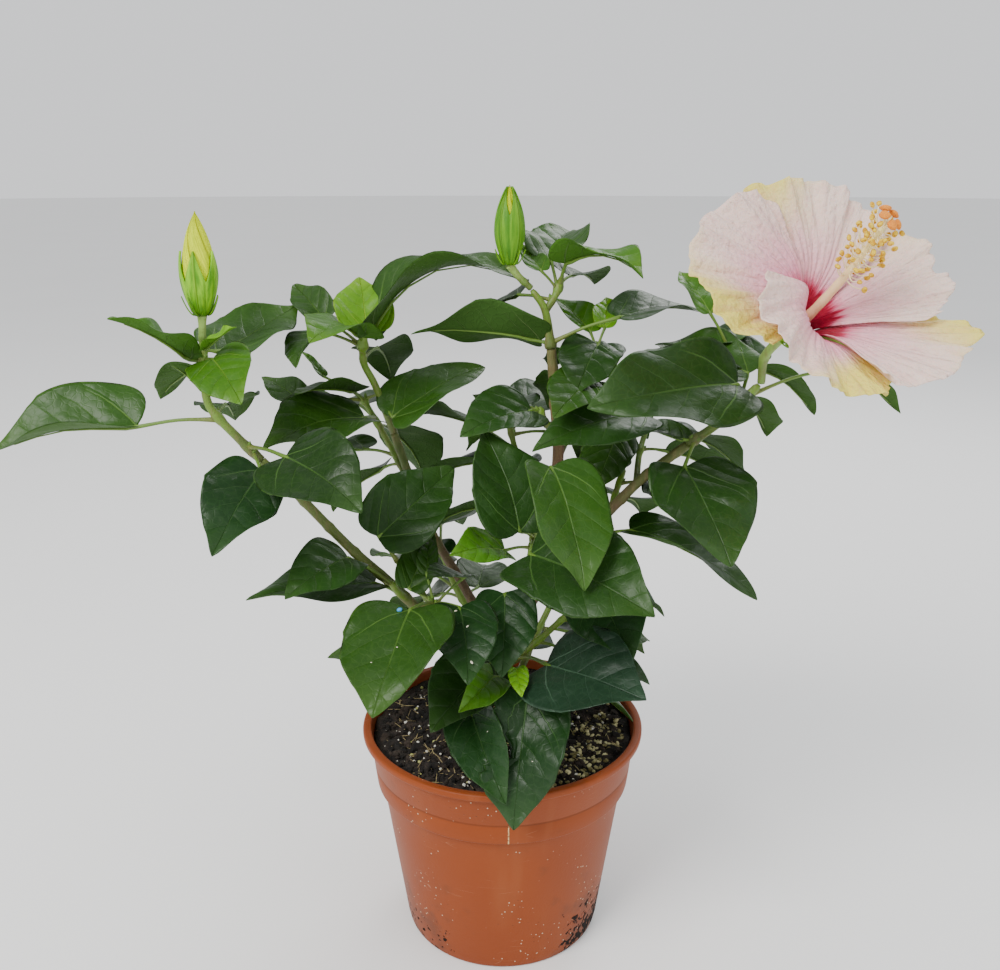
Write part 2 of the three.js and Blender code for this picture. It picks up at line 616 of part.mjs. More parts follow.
// How far the flower opens on one side of it, running evenly from petal to petal
function opennessAt(place) {
  const count = PETAL_OPENNESS.length;
  const before = Math.floor(place + count) % count;
  const after = (before + 1) % count;
  return mix(PETAL_OPENNESS[before], PETAL_OPENNESS[after], place - Math.floor(place));
}

// Petals: five broad overlapping sheets, each with one edge over and one under its neighbour
function petalPoint(place, along, across) {
  const side = 2 * across - 1;
  const gathered = THREE.MathUtils.smoothstep(along, 0, 0.42);
  const curled = place === PETAL_CURLED ? Math.max(0, side) : 0;
  const fullSpread = mix(PETAL_SPREAD, PETAL_CURLED_SPREAD, curled);
  const spread = mix(PETAL_FOOT_SPREAD, fullSpread, gathered) / PETAL_STEP;
  const length = PETAL_LENGTHS[place] * along * (1 - 0.22 * Math.pow(Math.abs(side), 3));
  const foot = { radius: 3.7, height: 2.3 };
  const arc = openingArc(length, foot, 22, opennessAt(place + spread * side), 34);
  const tilt = radians(PETAL_TILT) * side;
  const radius = arc.radius * Math.cos(tilt) + arc.height * Math.sin(tilt);
  const height = arc.height * Math.cos(tilt) - arc.radius * Math.sin(tilt);
  const wave = 2 * Math.PI * RUFFLES * (place + spread * side);
  const ruffle = RUFFLE_HEIGHT * along * along * Math.sin(wave / PETAL_OPENNESS.length);
  const turn = PETAL_FIRST_ANGLE - PETAL_STEP * (place + spread * side);
  const lift = PETAL_CURL_LIFT * curled * curled * THREE.MathUtils.smoothstep(along, 0.1, 0.6);
  return flowerPoint(radius, turn, height + ruffle + lift);
}

PETAL_OPENNESS.forEach((openness, place) => {
  const petal = sheet((along, across) => petalPoint(place, along, across), 7, 8, PETAL_THICKNESS);
  addPiece(`petal_${place + 1}`, petal, PETAL_PINK, 0.6);
});

// A fine stalk with a knob at its end
function pin(root, tip, stalkRadius, knobRadius) {
  const way = tip.clone().sub(root).normalize();
  const side = new THREE.Vector3().crossVectors(way, flower.forward).normalize();
  const across = new THREE.Vector3().crossVectors(way, side);
  const ring = (centre, radius) => [0, 120, 240].map((turn) => {
    const spot = shifted(centre, side, radius * Math.cos(radians(turn)));
    return spot.addScaledVector(across, radius * Math.sin(radians(turn)));
  });
  const neck = shifted(tip, way, -knobRadius);
  return loft([ring(root, stalkRadius), ring(neck, stalkRadius), ring(tip, knobRadius)],
    root, shifted(tip, way, 0.8 * knobRadius));
}

// Column: the tube of stamens that stands out of the throat, its anthers on fine stalks
function columnSolid() {
  const columnPoint = (share, radius, turn) => {
    const rise = COLUMN_RISE * Math.pow(share, 1.4);
    return flowerPoint(radius, turn, mix(2.2, COLUMN_LENGTH, share)).addScaledVector(flower.up, rise);
  };
  const axis = [0, 0.33, 0.66, 1].map((share) => columnPoint(share, 0, 0));
  const parts = [cane(axis, 2.3, 1.1, 6, 6)];
  for (let stamen = 0; stamen < STAMENS; stamen++) {
    const share = mix(0.55, 0.97, stamen / (STAMENS - 1));
    const turn = GOLDEN_ANGLE * stamen;
    const reach = 6.5 + 1.5 * Math.sin(5 * stamen);
    const root = columnPoint(share, 0, 0);
    const tip = columnPoint(share + 0.05, reach, turn);
    parts.push(pin(root, tip, 0.4, 1.4));
  }
  for (let pad = 0; pad < SEPALS; pad++) {
    const root = columnPoint(0.98, 0, 0);
    const tip = columnPoint(1.08, 4, (360 / SEPALS) * pad);
    parts.push(pin(root, tip, 0.45, 1.7));
  }
  return joined(parts);
}
addPiece('column', columnSolid(), COLUMN_CREAM, 0.6);

// Calyx: a knob on the stalk's end with five green sepals that hold the petals' feet
const CALYX_KNOB = { below: 3, above: 1.6, foot: 2.4, top: 5.4, sides: 10 };

function calyxKnob(extra) {
  const foot = flowerPoint(0, 0, -CALYX_KNOB.below - extra);
  const top = flowerPoint(0, 0, CALYX_KNOB.above + extra);
  const axis = [foot, foot.clone().lerp(top, 0.5), top];
  return cane(axis, CALYX_KNOB.foot + extra, CALYX_KNOB.top + extra, CALYX_KNOB.sides, 2);
}

function sepalPoint(place, along, across) {
  const side = 2 * across - 1;
  const arc = openingArc(SEPAL_LENGTH * along, { radius: 4.9, height: 0.6 }, 26, 104, 30);
  const narrowed = Math.pow(1 - 0.97 * along, 0.6);
  return flowerPoint(arc.radius, (360 / SEPALS) * place + 37 * side * narrowed, arc.height);
}

function calyxSolid() {
  const parts = [calyxKnob(0)];
  for (let place = 0; place < SEPALS; place++) {
    parts.push(sheet((along, across) => sepalPoint(place + 0.2, along, across), 4, 2, 0.8));
  }
  return joined(parts);
}
addPiece('flower_calyx', calyxSolid(), CALYX_GREEN, 0.6);

// Flower stalk: from the tip of the right cane's shoot up into the calyx
const stalkFoot = vector([110.8, -30.3, 288.1]);
const stalkTip = flowerPoint(0, 0, -CALYX_KNOB.below + 1);
const stalkBend = stalkFoot.clone().lerp(stalkTip, 0.55).add(new THREE.Vector3(-2.5, 2.5, 0));
const stalkLimb = cane([stalkFoot, stalkBend, stalkTip], 1.7, 2, CANE_SIDES);
addPiece('flower_stalk', cut(stalkLimb, [calyxKnob(GAP)]), GREEN_CANE, 0.6);

// Buds: [name, foot of the stalk, seat of the bud, heading and rise of the bud, length, radius,
// how far up the sepals' tips and the notches between them reach, and where the first tip stands]
const BUDS = [
  ['bud_left', [-130, -22, 302.3], [-129, -22, 317], [90, 88], 43, 8, 0.62, 0.3, 18],
  ['bud_centre', [12.5, -0.1, 324.9], [3, -5, 337], [0, 90], 33, 6.7, 0.96, 0.6, 0],
];
const BUD_SIDES = 20;
const CALYX_WALL = 0.7;

// The furled petals' radius at a share of the bud's length: fullest at two fifths, then pointed
function budRadius(share, radius) {
  if (share < 0.4) return radius * (0.5 + 0.5 * Math.sin((Math.PI / 2) * (share / 0.4)));
  return radius * Math.pow(Math.cos((Math.PI / 2) * ((share - 0.4) / 0.6)), 0.75);
}

function addBud(name, foot, seat, [heading, rise], length, radius, sepalReach, notchReach, firstTip) {
  const { forward, side, up } = frameOf(heading, rise);
  const budPoint = (height, ringRadius, turn) => {
    const spot = shifted(vector(seat), forward, height);
    spot.addScaledVector(side, ringRadius * Math.cos(turn));
    return spot.addScaledVector(up, ringRadius * Math.sin(turn));
  };
  const ringAt = (heightAt, radiusAt, sides) => {
    const ring = [];
    for (let place = 0; place < sides; place++) {
      const turn = (2 * Math.PI * place) / sides;
      ring.push(budPoint(heightAt(turn), radiusAt(heightAt(turn)), turn));
    }
    return ring;
  };

  const furled = [0.03, 0.15, 0.28, 0.42, 0.56, 0.7, 0.82, 0.91].map((share) =>
    ringAt(() => share * length, () => budRadius(share, radius) - CALYX_WALL - 2 * GAP, 15));
  const petals = loft(furled, budPoint(0.03 * length, 0, 0), budPoint(0.965 * length, 0, 0));
  addPiece(`${name}_petals`, petals, PETAL_YELLOW, 0.5);

  const topAt = (turn) => {
    const place = ((turn - radians(firstTip)) * SEPALS) / (2 * Math.PI) + SEPALS;
    const tooth = Math.abs(1 - 2 * (place % 1));
    return length * mix(notchReach, sepalReach, tooth);
  };
  const outerRadius = (height) => budRadius(height / length, radius) + 0.15;
  const innerRadius = (height) => budRadius(height / length, radius) - CALYX_WALL;
  const levels = [0, 0.3, 0.55, 0.75, 0.9, 1];
  const wallRing = (share, radiusAt) => ringAt((turn) => share * topAt(turn), radiusAt, BUD_SIDES);
  const outer = levels.map((share) => wallRing(share, outerRadius));
  const inner = levels.slice(1).reverse().map((share) => wallRing(share, innerRadius));
  const insideFloor = 0.012 * length;
  inner.push(ringAt(() => insideFloor, innerRadius, BUD_SIDES));
  const foundation = [ringAt(() => -1.5, () => 2.4, BUD_SIDES), ...outer, ...inner];
  const calyx = loft(foundation, budPoint(-1.5, 0, 0), budPoint(insideFloor, 0, 0));
  addPiece(`${name}_calyx`, calyx, CALYX_GREEN, 0.55);

  const stalkEnd = budPoint(-1.5 - GAP, 0, 0);
  const bend = vector(foot).lerp(stalkEnd, 0.6).addScaledVector(forward, -0.8);
  const tools = [cane([budPoint(-1.5 - GAP, 0, 0), budPoint(0, 0, 0), budPoint(3, 0, 0)], 4, 4, 8, 2)];
  const stalk = cane([vector(foot), bend, budPoint(-1, 0, 0)], 1.45, 1.7, CANE_SIDES);
  addPiece(`${name}_stalk`, cut(stalk, tools), GREEN_CANE, 0.6);
}
BUDS.forEach((bud) => addBud(...bud));

export default hibiscus;
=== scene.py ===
# Hibiscus in a nursery pot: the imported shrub, dressed with bark, fine leaves, petals and compost.
# Lengths are in millimetres, as in the part, and become metres where a mesh is made. +Z is up,
# and the viewer stands on the -Y side, where the pot shows the seam of its mould.
import math

import bpy
import numpy as np
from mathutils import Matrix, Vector, noise


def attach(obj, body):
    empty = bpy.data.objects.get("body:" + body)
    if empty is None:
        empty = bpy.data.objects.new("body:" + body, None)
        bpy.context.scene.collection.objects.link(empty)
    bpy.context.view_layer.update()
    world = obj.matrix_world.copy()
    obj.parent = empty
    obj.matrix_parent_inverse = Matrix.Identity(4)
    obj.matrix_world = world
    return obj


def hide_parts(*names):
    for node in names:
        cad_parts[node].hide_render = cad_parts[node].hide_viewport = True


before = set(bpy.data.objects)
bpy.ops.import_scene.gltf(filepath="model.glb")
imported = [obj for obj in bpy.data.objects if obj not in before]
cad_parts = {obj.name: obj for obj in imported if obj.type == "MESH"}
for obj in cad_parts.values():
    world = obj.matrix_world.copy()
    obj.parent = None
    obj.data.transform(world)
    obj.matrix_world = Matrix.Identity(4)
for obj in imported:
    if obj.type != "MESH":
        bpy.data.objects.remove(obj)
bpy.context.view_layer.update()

# Camera: at the photograph's place, a little above the crown and looking down on the soil, with
# the lens that draws the pot's rim and foot as the photograph does.
CAMERA_PLACE = (-0.0012, -0.474, 0.377)
CAMERA_LOOKS_DOWN = 16.9
PHOTO_WIDTH = 1000
FOCAL_PIXELS = 1050

camera_data = bpy.data.cameras.new("camera")
camera_data.sensor_width = 36
camera_data.lens = camera_data.sensor_width * FOCAL_PIXELS / PHOTO_WIDTH
camera_data.clip_start = 0.01
camera = bpy.data.objects.new("camera", camera_data)
camera.location = CAMERA_PLACE
camera.rotation_euler = (math.radians(90 - CAMERA_LOOKS_DOWN), 0, 0)
bpy.context.scene.collection.objects.link(camera)
bpy.context.scene.camera = camera


# Light: a broad soft key from the upper left front, a weaker fill from the right, a low rim
# from behind, and an even pale sky over them, which is dimmer in what the leaves reflect of it.
LIGHTS_AIM = (0, 0, 0.2)
SKY_BRIGHTNESS = 1.05
SKY_IN_GLOSS = 0.55


def add_soft_light(name, place, size, power, tint):
    data = bpy.data.lights.new(name, "AREA")
    data.shape = "DISK"
    data.size = size
    data.energy = power
    data.color = tint
    light = bpy.data.objects.new(name, data)
    light.location = place
    aim = Vector(LIGHTS_AIM) - Vector(place)
    light.rotation_euler = aim.to_track_quat("-Z", "Y").to_euler()
    bpy.context.scene.collection.objects.link(light)


add_soft_light("key", (-0.75, -0.95, 1.35), 0.8, 27, (1.0, 0.98, 0.95))
add_soft_light("fill", (1.1, -0.7, 0.7), 1.0, 3.5, (0.94, 0.97, 1.0))
add_soft_light("rim", (0.5, 1.1, 1.1), 0.8, 7.5, (1.0, 1.0, 1.0))

sky = bpy.data.worlds.new("sky")
sky.use_nodes = True
sky_nodes, sky_links = sky.node_tree.nodes, sky.node_tree.links
sky_nodes["Background"].inputs["Color"].default_value = (0.97, 0.98, 1.0, 1)
ray = sky_nodes.new("ShaderNodeLightPath")
brightness = sky_nodes.new("ShaderNodeMapRange")
brightness.inputs["To Min"].default_value = SKY_BRIGHTNESS
brightness.inputs["To Max"].default_value = SKY_IN_GLOSS
sky_links.new(ray.outputs["Is Glossy Ray"], brightness.inputs["Value"])
sky_links.new(brightness.outputs["Result"], sky_nodes["Background"].inputs["Strength"])
bpy.context.scene.world = sky


# Floor: one plain pale disc that runs out to the horizon, so that no edge of it shows.
# The helpers that make every mesh and every finish begin here, where they are first used.
MM = 0.001


class Heap:
    """Points and faces in millimetres that are gathered up to make one mesh"""

    def __init__(self, *first):
        self.points, self.faces, self.uv, self.finish_index = [], [], [], []
        self.marks = {}
        self.count = 0
        if first:
            self.add(*first)

    def add(self, points, faces, uv=None, finish=0, **marks):
        points = np.asarray(points, float).reshape(-1, 3)
        self.points.append(points)
        self.uv.append(np.zeros((len(points), 2)) if uv is None else np.asarray(uv).reshape(-1, 2))
        self.faces.extend([[corner + self.count for corner in face] for face in faces])
        self.finish_index.extend([finish] * len(faces) if isinstance(finish, int) else finish)
        for name, values in marks.items():
            self.marks.setdefault(name, []).append(np.broadcast_to(values, len(points)))
        self.count += len(points)

    def mesh(self, name):
        mesh = bpy.data.meshes.new(name)
        mesh.from_pydata((np.concatenate(self.points) * MM).tolist(), [], self.faces)
        corner_of = np.empty(len(mesh.loops), int)
        mesh.loops.foreach_get("vertex_index", corner_of)
        layer = mesh.uv_layers.new(name="UVMap")
        layer.data.foreach_set("uv", np.concatenate(self.uv)[corner_of].ravel())
        for mark, values in self.marks.items():
            attribute = mesh.attributes.new(mark, "FLOAT", "POINT")
            attribute.data.foreach_set("value", np.concatenate(values))
        mesh.polygons.foreach_set("material_index", self.finish_index)
        mesh.polygons.foreach_set("use_smooth", [True] * len(mesh.polygons))
        return mesh


def show(name, mesh, finishes):
    """Puts a mesh into the scene with its finishes"""
    for finish in finishes:
        mesh.materials.append(finish.material)
    piece = bpy.data.objects.new(name, mesh)
    bpy.context.scene.collection.objects.link(piece)
    return piece


def dress(name, heap, finishes, nodes):
    """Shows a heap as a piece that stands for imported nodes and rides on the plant"""
    piece = show(name, heap.mesh(name), finishes)
    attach(piece, "root")
    if nodes:
        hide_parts(*nodes)


def grid_faces(rows, columns, wrapped=False):
    """The four-cornered faces of a grid of points that is given row by row"""
    across = np.arange(columns - (not wrapped))
    row, column = np.meshgrid(np.arange(rows - 1), across, indexing="ij")
    near = row * columns + column
    beside = row * columns + (column + 1) % columns
    return np.stack([near, beside, beside + columns, near + columns], -1).reshape(-1, 4).tolist()


def closed_faces(rings, sides):
    """The faces of a row of rings, with a lid on the first ring and on the last"""
    last = (rings - 1) * sides
    lids = [list(range(sides))[::-1], list(range(last, last + sides))]
    return grid_faces(rings, sides, wrapped=True) + lids


def full_turn(sides):
    return np.linspace(0, 2 * math.pi, sides, endpoint=False)


def turned(profile, sides):
    """A lathe: an outline of (radius, height), with its inside on its left, turned about Z"""
    radius, height = np.array(profile, float).T[:, :, None]
    turn = full_turn(sides)[None, :]
    points = np.stack([radius * np.cos(turn), radius * np.sin(turn), height + 0 * turn], -1)
    return points, grid_faces(len(profile), sides, wrapped=True)


def linear(red, green, blue):
    """A colour as a picture gives it, from 0 to 255, as light"""
    shares = [value / 255 for value in (red, green, blue)]
    return [s / 12.92 if s <= 0.04045 else ((s + 0.055) / 1.055) ** 2.4 for s in shares] + [1.0]


class Wire:
    """A node's output, which sums and products can be written with"""

    def __init__(self, finish, socket):
        self.finish, self.socket = finish, socket

    def maths(self, operation, *terms):
        return self.finish.node("Math", {"operation": operation}, dict(enumerate(terms)))

    def __add__(self, other):
        return self.maths("ADD", self, other)

    def __sub__(self, other):
        return self.maths("SUBTRACT", self, other)

    def __rsub__(self, other):
        return self.maths("SUBTRACT", other, self)

    def __mul__(self, other):
        return self.maths("MULTIPLY", self, other)

    __radd__, __rmul__ = __add__, __mul__

    def size(self):
        return self.maths("ABSOLUTE", self)

    def part(self):
        return self.maths("FRACT", self)

    def most(self, other):
        return self.maths("MAXIMUM", self, other)

    def ramp(self, low, high):
        """0 below low and 1 above high, or the other way round where low is the greater"""
        limits = {"Value": self, "From Min": min(low, high), "From Max": max(low, high),
                  "To Min": float(low > high), "To Max": float(low < high)}
        return self.finish.node("MapRange", {"interpolation_type": "SMOOTHSTEP"}, limits, "Result")


class Finish:
    """A material on the standard surface shader"""

    def __init__(self, name, **constants):
        self.material = bpy.data.materials.new(name)
        self.material.use_nodes = True
        self.tree = self.material.node_tree
        self.shader = self.tree.nodes["Principled BSDF"]
        for socket, value in constants.items():
            self.shader.inputs[self.spelt(socket)].default_value = value
        self.place = self.node("TexCoord", output="Object")
        self.uv = self.node("TexCoord", output="UV")

    @staticmethod
    def spelt(socket):
        """base_color as the shader's own Base Color"""
        return socket.replace("_", " ").title().replace("Ior", "IOR")

    def node(self, kind, settings=None, inputs=None, output=0):
        made = self.tree.nodes.new("ShaderNode" + kind)
        for setting, value in (settings or {}).items():
            setattr(made, setting, value)
        for socket, value in (inputs or {}).items():
            if isinstance(value, Wire):
                self.tree.links.new(value.socket, made.inputs[socket])
            else:
                made.inputs[socket].default_value = value
        return Wire(self, made.outputs[output])

    def stretched(self, vector, stretch):
        if stretch is None:
            return vector
        return self.node("Mapping", None, {"Vector": vector, "Scale": stretch})

    def noise(self, scale, detail, stretch=None, where=None):
        vector = self.stretched(where or self.place, stretch)
        return self.node("TexNoise", None, {"Vector": vector, "Scale": scale, "Detail": detail})

    def streaks(self, detail, round_it, along_it):
        """Noise drawn out along a piece, by how often it changes round it and along it"""
        return self.noise(1, detail, (round_it, along_it, 1), self.uv)

    def cells(self, scale, feature="DISTANCE_TO_EDGE", stretch=None):
        vector = self.stretched(self.place, stretch)
        return self.node("TexVoronoi", {"feature": feature}, {"Vector": vector, "Scale": scale})

    def mixed(self, share, one, other):
        """Two colours blended, each a wire, light, or a tuple as a picture gives it"""
        pair = [linear(*colour) if isinstance(colour, tuple) else colour for colour in (one, other)]
        return self.node("Mix", {"data_type": "RGBA"}, {0: share, 6: pair[0], 7: pair[1]}, 2)

    def axis(self, vector, letter):
        return self.node("SeparateXYZ", None, {0: vector}, letter)

    def across(self):
        return self.axis(self.uv, "X")

    def along(self):
        return self.axis(self.uv, "Y")

    def mark(self, name):
        return self.node("Attribute", {"attribute_name": name}, None, "Fac")

    def set(self, **links):
        for socket, wire in links.items():
            self.tree.links.new(wire.socket, self.shader.inputs[self.spelt(socket)])

    def paint(self, share, one, other, *coats):
        """Two tones mixed, and coats laid over them in turn, each as its share and its colour"""
        colour = self.mixed(share, one, other)
        for covered, coat in coats:
            colour = self.mixed(covered, colour, coat)
        self.set(base_color=colour)

    def relief(self, height, distance):
        """Bumps of a given depth in metres"""
        self.set(normal=self.node("Bump", None, {"Height": height, "Distance": distance}, "Normal"))


def mottled(name, roughness, scale, detail, one, other, limits=None, grain=None):
    """A finish in patches of two tones, which part sharply where limits are given, and its grain"""
    finish = Finish(name, roughness=roughness)
    tone = finish.noise(scale, detail)
    if limits:
        tone = tone.ramp(*limits)
    finish.paint(tone, one, other)
    if grain:
        grain_scale, depth = grain
        finish.relief(finish.noise(grain_scale, 3), depth)
    return finish


FLOOR_RADIUS = 14000
FLOOR_SIDES = 96

floor_finish = mottled("pale_floor", 0.9, 3, 3, (236, 236, 235), (240, 240, 239))
floor_points, floor_faces = turned([(FLOOR_RADIUS, 0), (1, 0)], FLOOR_SIDES)
floor_heap = Heap(floor_points, floor_faces + [list(range(FLOOR_SIDES, 2 * FLOOR_SIDES))])
floor = show("floor", floor_heap.mesh("floor"), [floor_finish])


# Pot: a thin terracotta-coloured nursery pot, moulded in one shot with a stepped band, a rolled
# lip and drain holes. It is matt, scuffed, has a seam in front and soil dried on to its foot.
POT_HEIGHT = 110
POT_FOOT_RADIUS = 49.5
POT_STEP_HEIGHT = 80
POT_STEP_RADIUS = 61
POT_BAND_RADIUS = 63.5
POT_BAND_TOP_RADIUS = 66.5
POT_LIP_RADIUS = 70
POT_LIP_HEIGHT = 3.5
POT_WALL = 1.6
POT_GROOVE_HEIGHT = 91
SEAM_ACROSS = 2.7
DRAIN_HOLES = 8
DRAIN_RING_RADIUS = 34
DRAIN_HOLE_RADIUS = 4.5
DRAIN_RING_OUTER = DRAIN_RING_RADIUS + DRAIN_HOLE_RADIUS + 3
DRAIN_RING_INNER = DRAIN_RING_RADIUS - DRAIN_HOLE_RADIUS - 3
POT_SIDES = 180


def rounded(corners):
    """An outline whose third number, where it has one, rounds the corner by that radius"""
    outline = []
    for place, corner in enumerate(corners):
        if len(corner) == 2:
            outline.append(corner)
            continue
        here = Vector(corner[:2])
        before = (Vector(corners[place - 1][:2]) - here).normalized() * corner[2]
        after = (Vector(corners[(place + 1) % len(corners)][:2]) - here).normalized() * corner[2]
        for share in (0, 0.25, 0.5, 0.75, 1):
            outline.append(here + before * (1 - share) ** 2 + after * share ** 2)
    return outline


lip_underside = POT_HEIGHT - POT_LIP_HEIGHT
band_slope = (POT_BAND_TOP_RADIUS - POT_BAND_RADIUS) / (lip_underside - POT_STEP_HEIGHT)
groove_radius = POT_BAND_RADIUS + band_slope * (POT_GROOVE_HEIGHT - POT_STEP_HEIGHT)
pot_outline = rounded([
    (DRAIN_RING_OUTER, 0), (POT_FOOT_RADIUS - 0.5, 0, 1.4),
    (POT_FOOT_RADIUS + 0.6, 5), (POT_STEP_RADIUS - 2.2, POT_STEP_HEIGHT - 14),
    (POT_STEP_RADIUS, POT_STEP_HEIGHT, 0.5), (POT_BAND_RADIUS, POT_STEP_HEIGHT + 0.8, 0.6),
    (groove_radius - 0.1, POT_GROOVE_HEIGHT - 1), (groove_radius - 0.5, POT_GROOVE_HEIGHT),
    (groove_radius + 0.1, POT_GROOVE_HEIGHT + 1), (POT_BAND_TOP_RADIUS, lip_underside, 0.8),
    (POT_LIP_RADIUS, lip_underside, 1.2), (POT_LIP_RADIUS, POT_HEIGHT, 1.4),
    (POT_BAND_TOP_RADIUS - 0.6, POT_HEIGHT, 0.9),
    (POT_BAND_TOP_RADIUS - POT_WALL, lip_underside - 1),
    (POT_BAND_RADIUS - POT_WALL, POT_STEP_HEIGHT + 2.5, 0.6),
    (POT_STEP_RADIUS - POT_WALL, POT_STEP_HEIGHT), (POT_FOOT_RADIUS - POT_WALL, POT_WALL, 1),
    (DRAIN_RING_OUTER, POT_WALL),
])
pot_wall, pot_wall_faces = turned(pot_outline, POT_SIDES)


def drained_floor():
    """The floor of the pot: a ring of bays, each with a round hole, and the disc inside them"""
    floor_heap = Heap()
    bay = 2 * math.pi / DRAIN_HOLES
    half = POT_SIDES // (2 * DRAIN_HOLES)
    for hole in range(DRAIN_HOLES):
        middle = bay * (hole + 0.5)
        centre = DRAIN_RING_RADIUS * np.array([math.cos(middle), math.sin(middle)])
        edge = []
        for share in np.linspace(-0.5, 0.5, 2 * half + 1):
            edge.append((DRAIN_RING_OUTER, middle + bay * share))
        for share in np.linspace(0.5, -0.5, 2 * half + 1):
            edge.append((DRAIN_RING_INNER, middle + bay * share))
        bay_edge = np.array([[r * math.cos(t), r * math.sin(t)] for r, t in edge])
        spokes = bay_edge - centre
        rim = centre + DRAIN_HOLE_RADIUS * spokes / np.linalg.norm(spokes, axis=1)[:, None]
        rings = [(bay_edge, 0), (rim, 0), (rim, POT_WALL), (bay_edge, POT_WALL)]
        points = [np.column_stack([ring, np.full(len(ring), height)]) for ring, height in rings]
        floor_heap.add(points, grid_faces(4, len(bay_edge), wrapped=True))
    turn = full_turn(2 * half * DRAIN_HOLES)
    for height, faces_down in ((0, True), (POT_WALL, False)):
        ring = np.stack([DRAIN_RING_INNER * np.cos(turn), DRAIN_RING_INNER * np.sin(turn),
                         height + 0 * turn], -1)
        order = list(range(len(turn)))
        floor_heap.add(ring, [order[::-1] if faces_down else order])
    return floor_heap


plastic = Finish("terracotta_plastic", roughness=0.5, specular_ior_level=0.2)
pot_across, pot_depth, pot_up = [plastic.axis(plastic.place, letter) for letter in "XYZ"]
blotches = plastic.noise(26, 4)
dust = plastic.noise(60, 5, (1, 1, 0.12)).ramp(0.52, 0.8) * 0.22
low_half = pot_up.ramp(0.06, 0.02)
sprinkled = (plastic.noise(40, 2) + low_half * 0.12).ramp(0.58, 0.68)
specks = plastic.cells(380, "F1").ramp(0.17, 0.1) * sprinkled
splashes = plastic.cells(240, "F1", (1, 1, 1.7)).ramp(0.11, 0.06) * sprinkled
crumbly = plastic.noise(330, 8)
to_the_right = pot_across.ramp(0.012, 0.045)
to_the_left = pot_across.ramp(-0.01, -0.034)
crust_reach = pot_up.ramp(0.055, 0.0) * (to_the_right * 0.4 + to_the_left * 0.22)
crust = (crumbly + crust_reach).ramp(0.8, 0.83)
thin_crust = (plastic.noise(90, 4) + crust_reach).ramp(0.6, 0.9) * 0.5
groove_up, step_up = POT_GROOVE_HEIGHT * MM, (POT_STEP_HEIGHT + 0.3) * MM
above_groove = pot_up.ramp(groove_up - 0.0005, groove_up + 0.0005)
off_seam = (pot_across - SEAM_ACROSS * MM).size() + pot_depth.ramp(-0.01, 0.0)
seam = off_seam.ramp(0.0003, 0.00015) * above_groove
flash = off_seam.ramp(0.00042, 0.00022) * plastic.noise(700, 3).ramp(0.38, 0.5)
flash = flash * pot_up.ramp(step_up - 0.0005, step_up + 0.0001) * (1 - above_groove)
# Painted shade: dark lines along the groove and along the top of the step, where shade falls in
# those creases.
crease_shade = (pot_up - groove_up).size().ramp(0.0007, 0.0002)
crease_shade = crease_shade + (pot_up - step_up).size().ramp(0.0007, 0.0002)
scratch = plastic.cells(70, stretch=(0.4, 1, 2.6)).ramp(0.006, 0.002)
scratch = scratch * plastic.noise(70, 1).ramp(0.62, 0.7) * 0.3
plastic.paint(blotches, (126, 56, 20), (142, 68, 28),
              (dust, (158, 98, 62)), (scratch, (214, 168, 136)), (thin_crust, (84, 50, 32)),
              (splashes * 0.8, (60, 40, 28)), (specks * 0.85, (222, 200, 170)),
              # painted shade in the creases, laid with the dark line of the seam
              (seam * 0.5 + crease_shade * 0.4, (80, 36, 14)), (flash * 0.85, (232, 196, 140)),
              (crust, (28, 20, 16)))
plastic.set(roughness=crust * 0.4 + dust * 0.3 + blotches * 0.14 + 0.4)
plastic.relief(plastic.noise(900, 2) * 0.12 + crust * crumbly * 1.6 + seam * 0.6 + flash * 0.6
               + specks * 0.3, 0.0006)

pot_heap = drained_floor()
pot_heap.add(pot_wall, pot_wall_faces)
dress("nursery_pot", pot_heap, [plastic], ["pot"])


# Compost: peat and bark crumbs, near black where it is damp, strewn with white perlite, flakes of
# lime, fertiliser grains and root fibres. It fills the pot to just under the lip.
SOIL_TOP = 104
SOIL_EDGE_RISE = 1.5
SOIL_FLAT_RADIUS = 14
SOIL_EDGE_RADIUS = 64.2
SOIL_RINGS = 70
OPEN_RINGS = 66
SOIL_SIDES = 150
SOIL_MIDDLE = 0.02
SOIL_FOOT_SHRINK = 0.96
SOIL_LUMPS = 2.2
SOIL_SUNK = 0.6


def soil_height(x, y):
    """The top of the compost, with its lumps"""
    radius = math.hypot(x, y)
    slope = max(0.0, radius - SOIL_FLAT_RADIUS) / (SOIL_EDGE_RADIUS - SOIL_FLAT_RADIUS)
    lumps = noise.fractal(Vector((x, y, 0)) * 0.09, 0.7, 2.1, 5) * SOIL_LUMPS
    return SOIL_TOP + SOIL_EDGE_RISE * slope ** 1.6 + lumps - SOIL_SUNK


soil_points = []
for ring in range(SOIL_RINGS):
    for side in range(SOIL_SIDES):
        radius = SOIL_EDGE_RADIUS * (ring + SOIL_MIDDLE) / (SOIL_RINGS - 1 + SOIL_MIDDLE)
        turn = 2 * math.pi * side / SOIL_SIDES
        x, y = radius * math.cos(turn), radius * math.sin(turn)
        soil_points.append((x, y, soil_height(x, y)))
soil_rim = np.array(soil_points[-SOIL_SIDES:])
soil_foot = soil_rim * [SOIL_FOOT_SHRINK, SOIL_FOOT_SHRINK, 0] + [0, 0, POT_STEP_HEIGHT + 6]
soil_heap = Heap(np.concatenate([soil_points, soil_foot]),
                 [face[::-1] for face in closed_faces(SOIL_RINGS + 1, SOIL_SIDES)])

damp_soil = Finish("damp_compost", roughness=0.92)
damp = damp_soil.noise(45, 5).ramp(0.4, 0.65)
grit = damp_soil.noise(700, 4)
damp_soil.paint(damp, (20, 16, 13), (46, 37, 29), (grit.ramp(0.62, 0.75), (92, 72, 52)))
damp_soil.relief(grit + damp_soil.noise(240, 4) * 1.5, 0.0012)
dress("compost", soil_heap, [damp_soil], ["soil"])

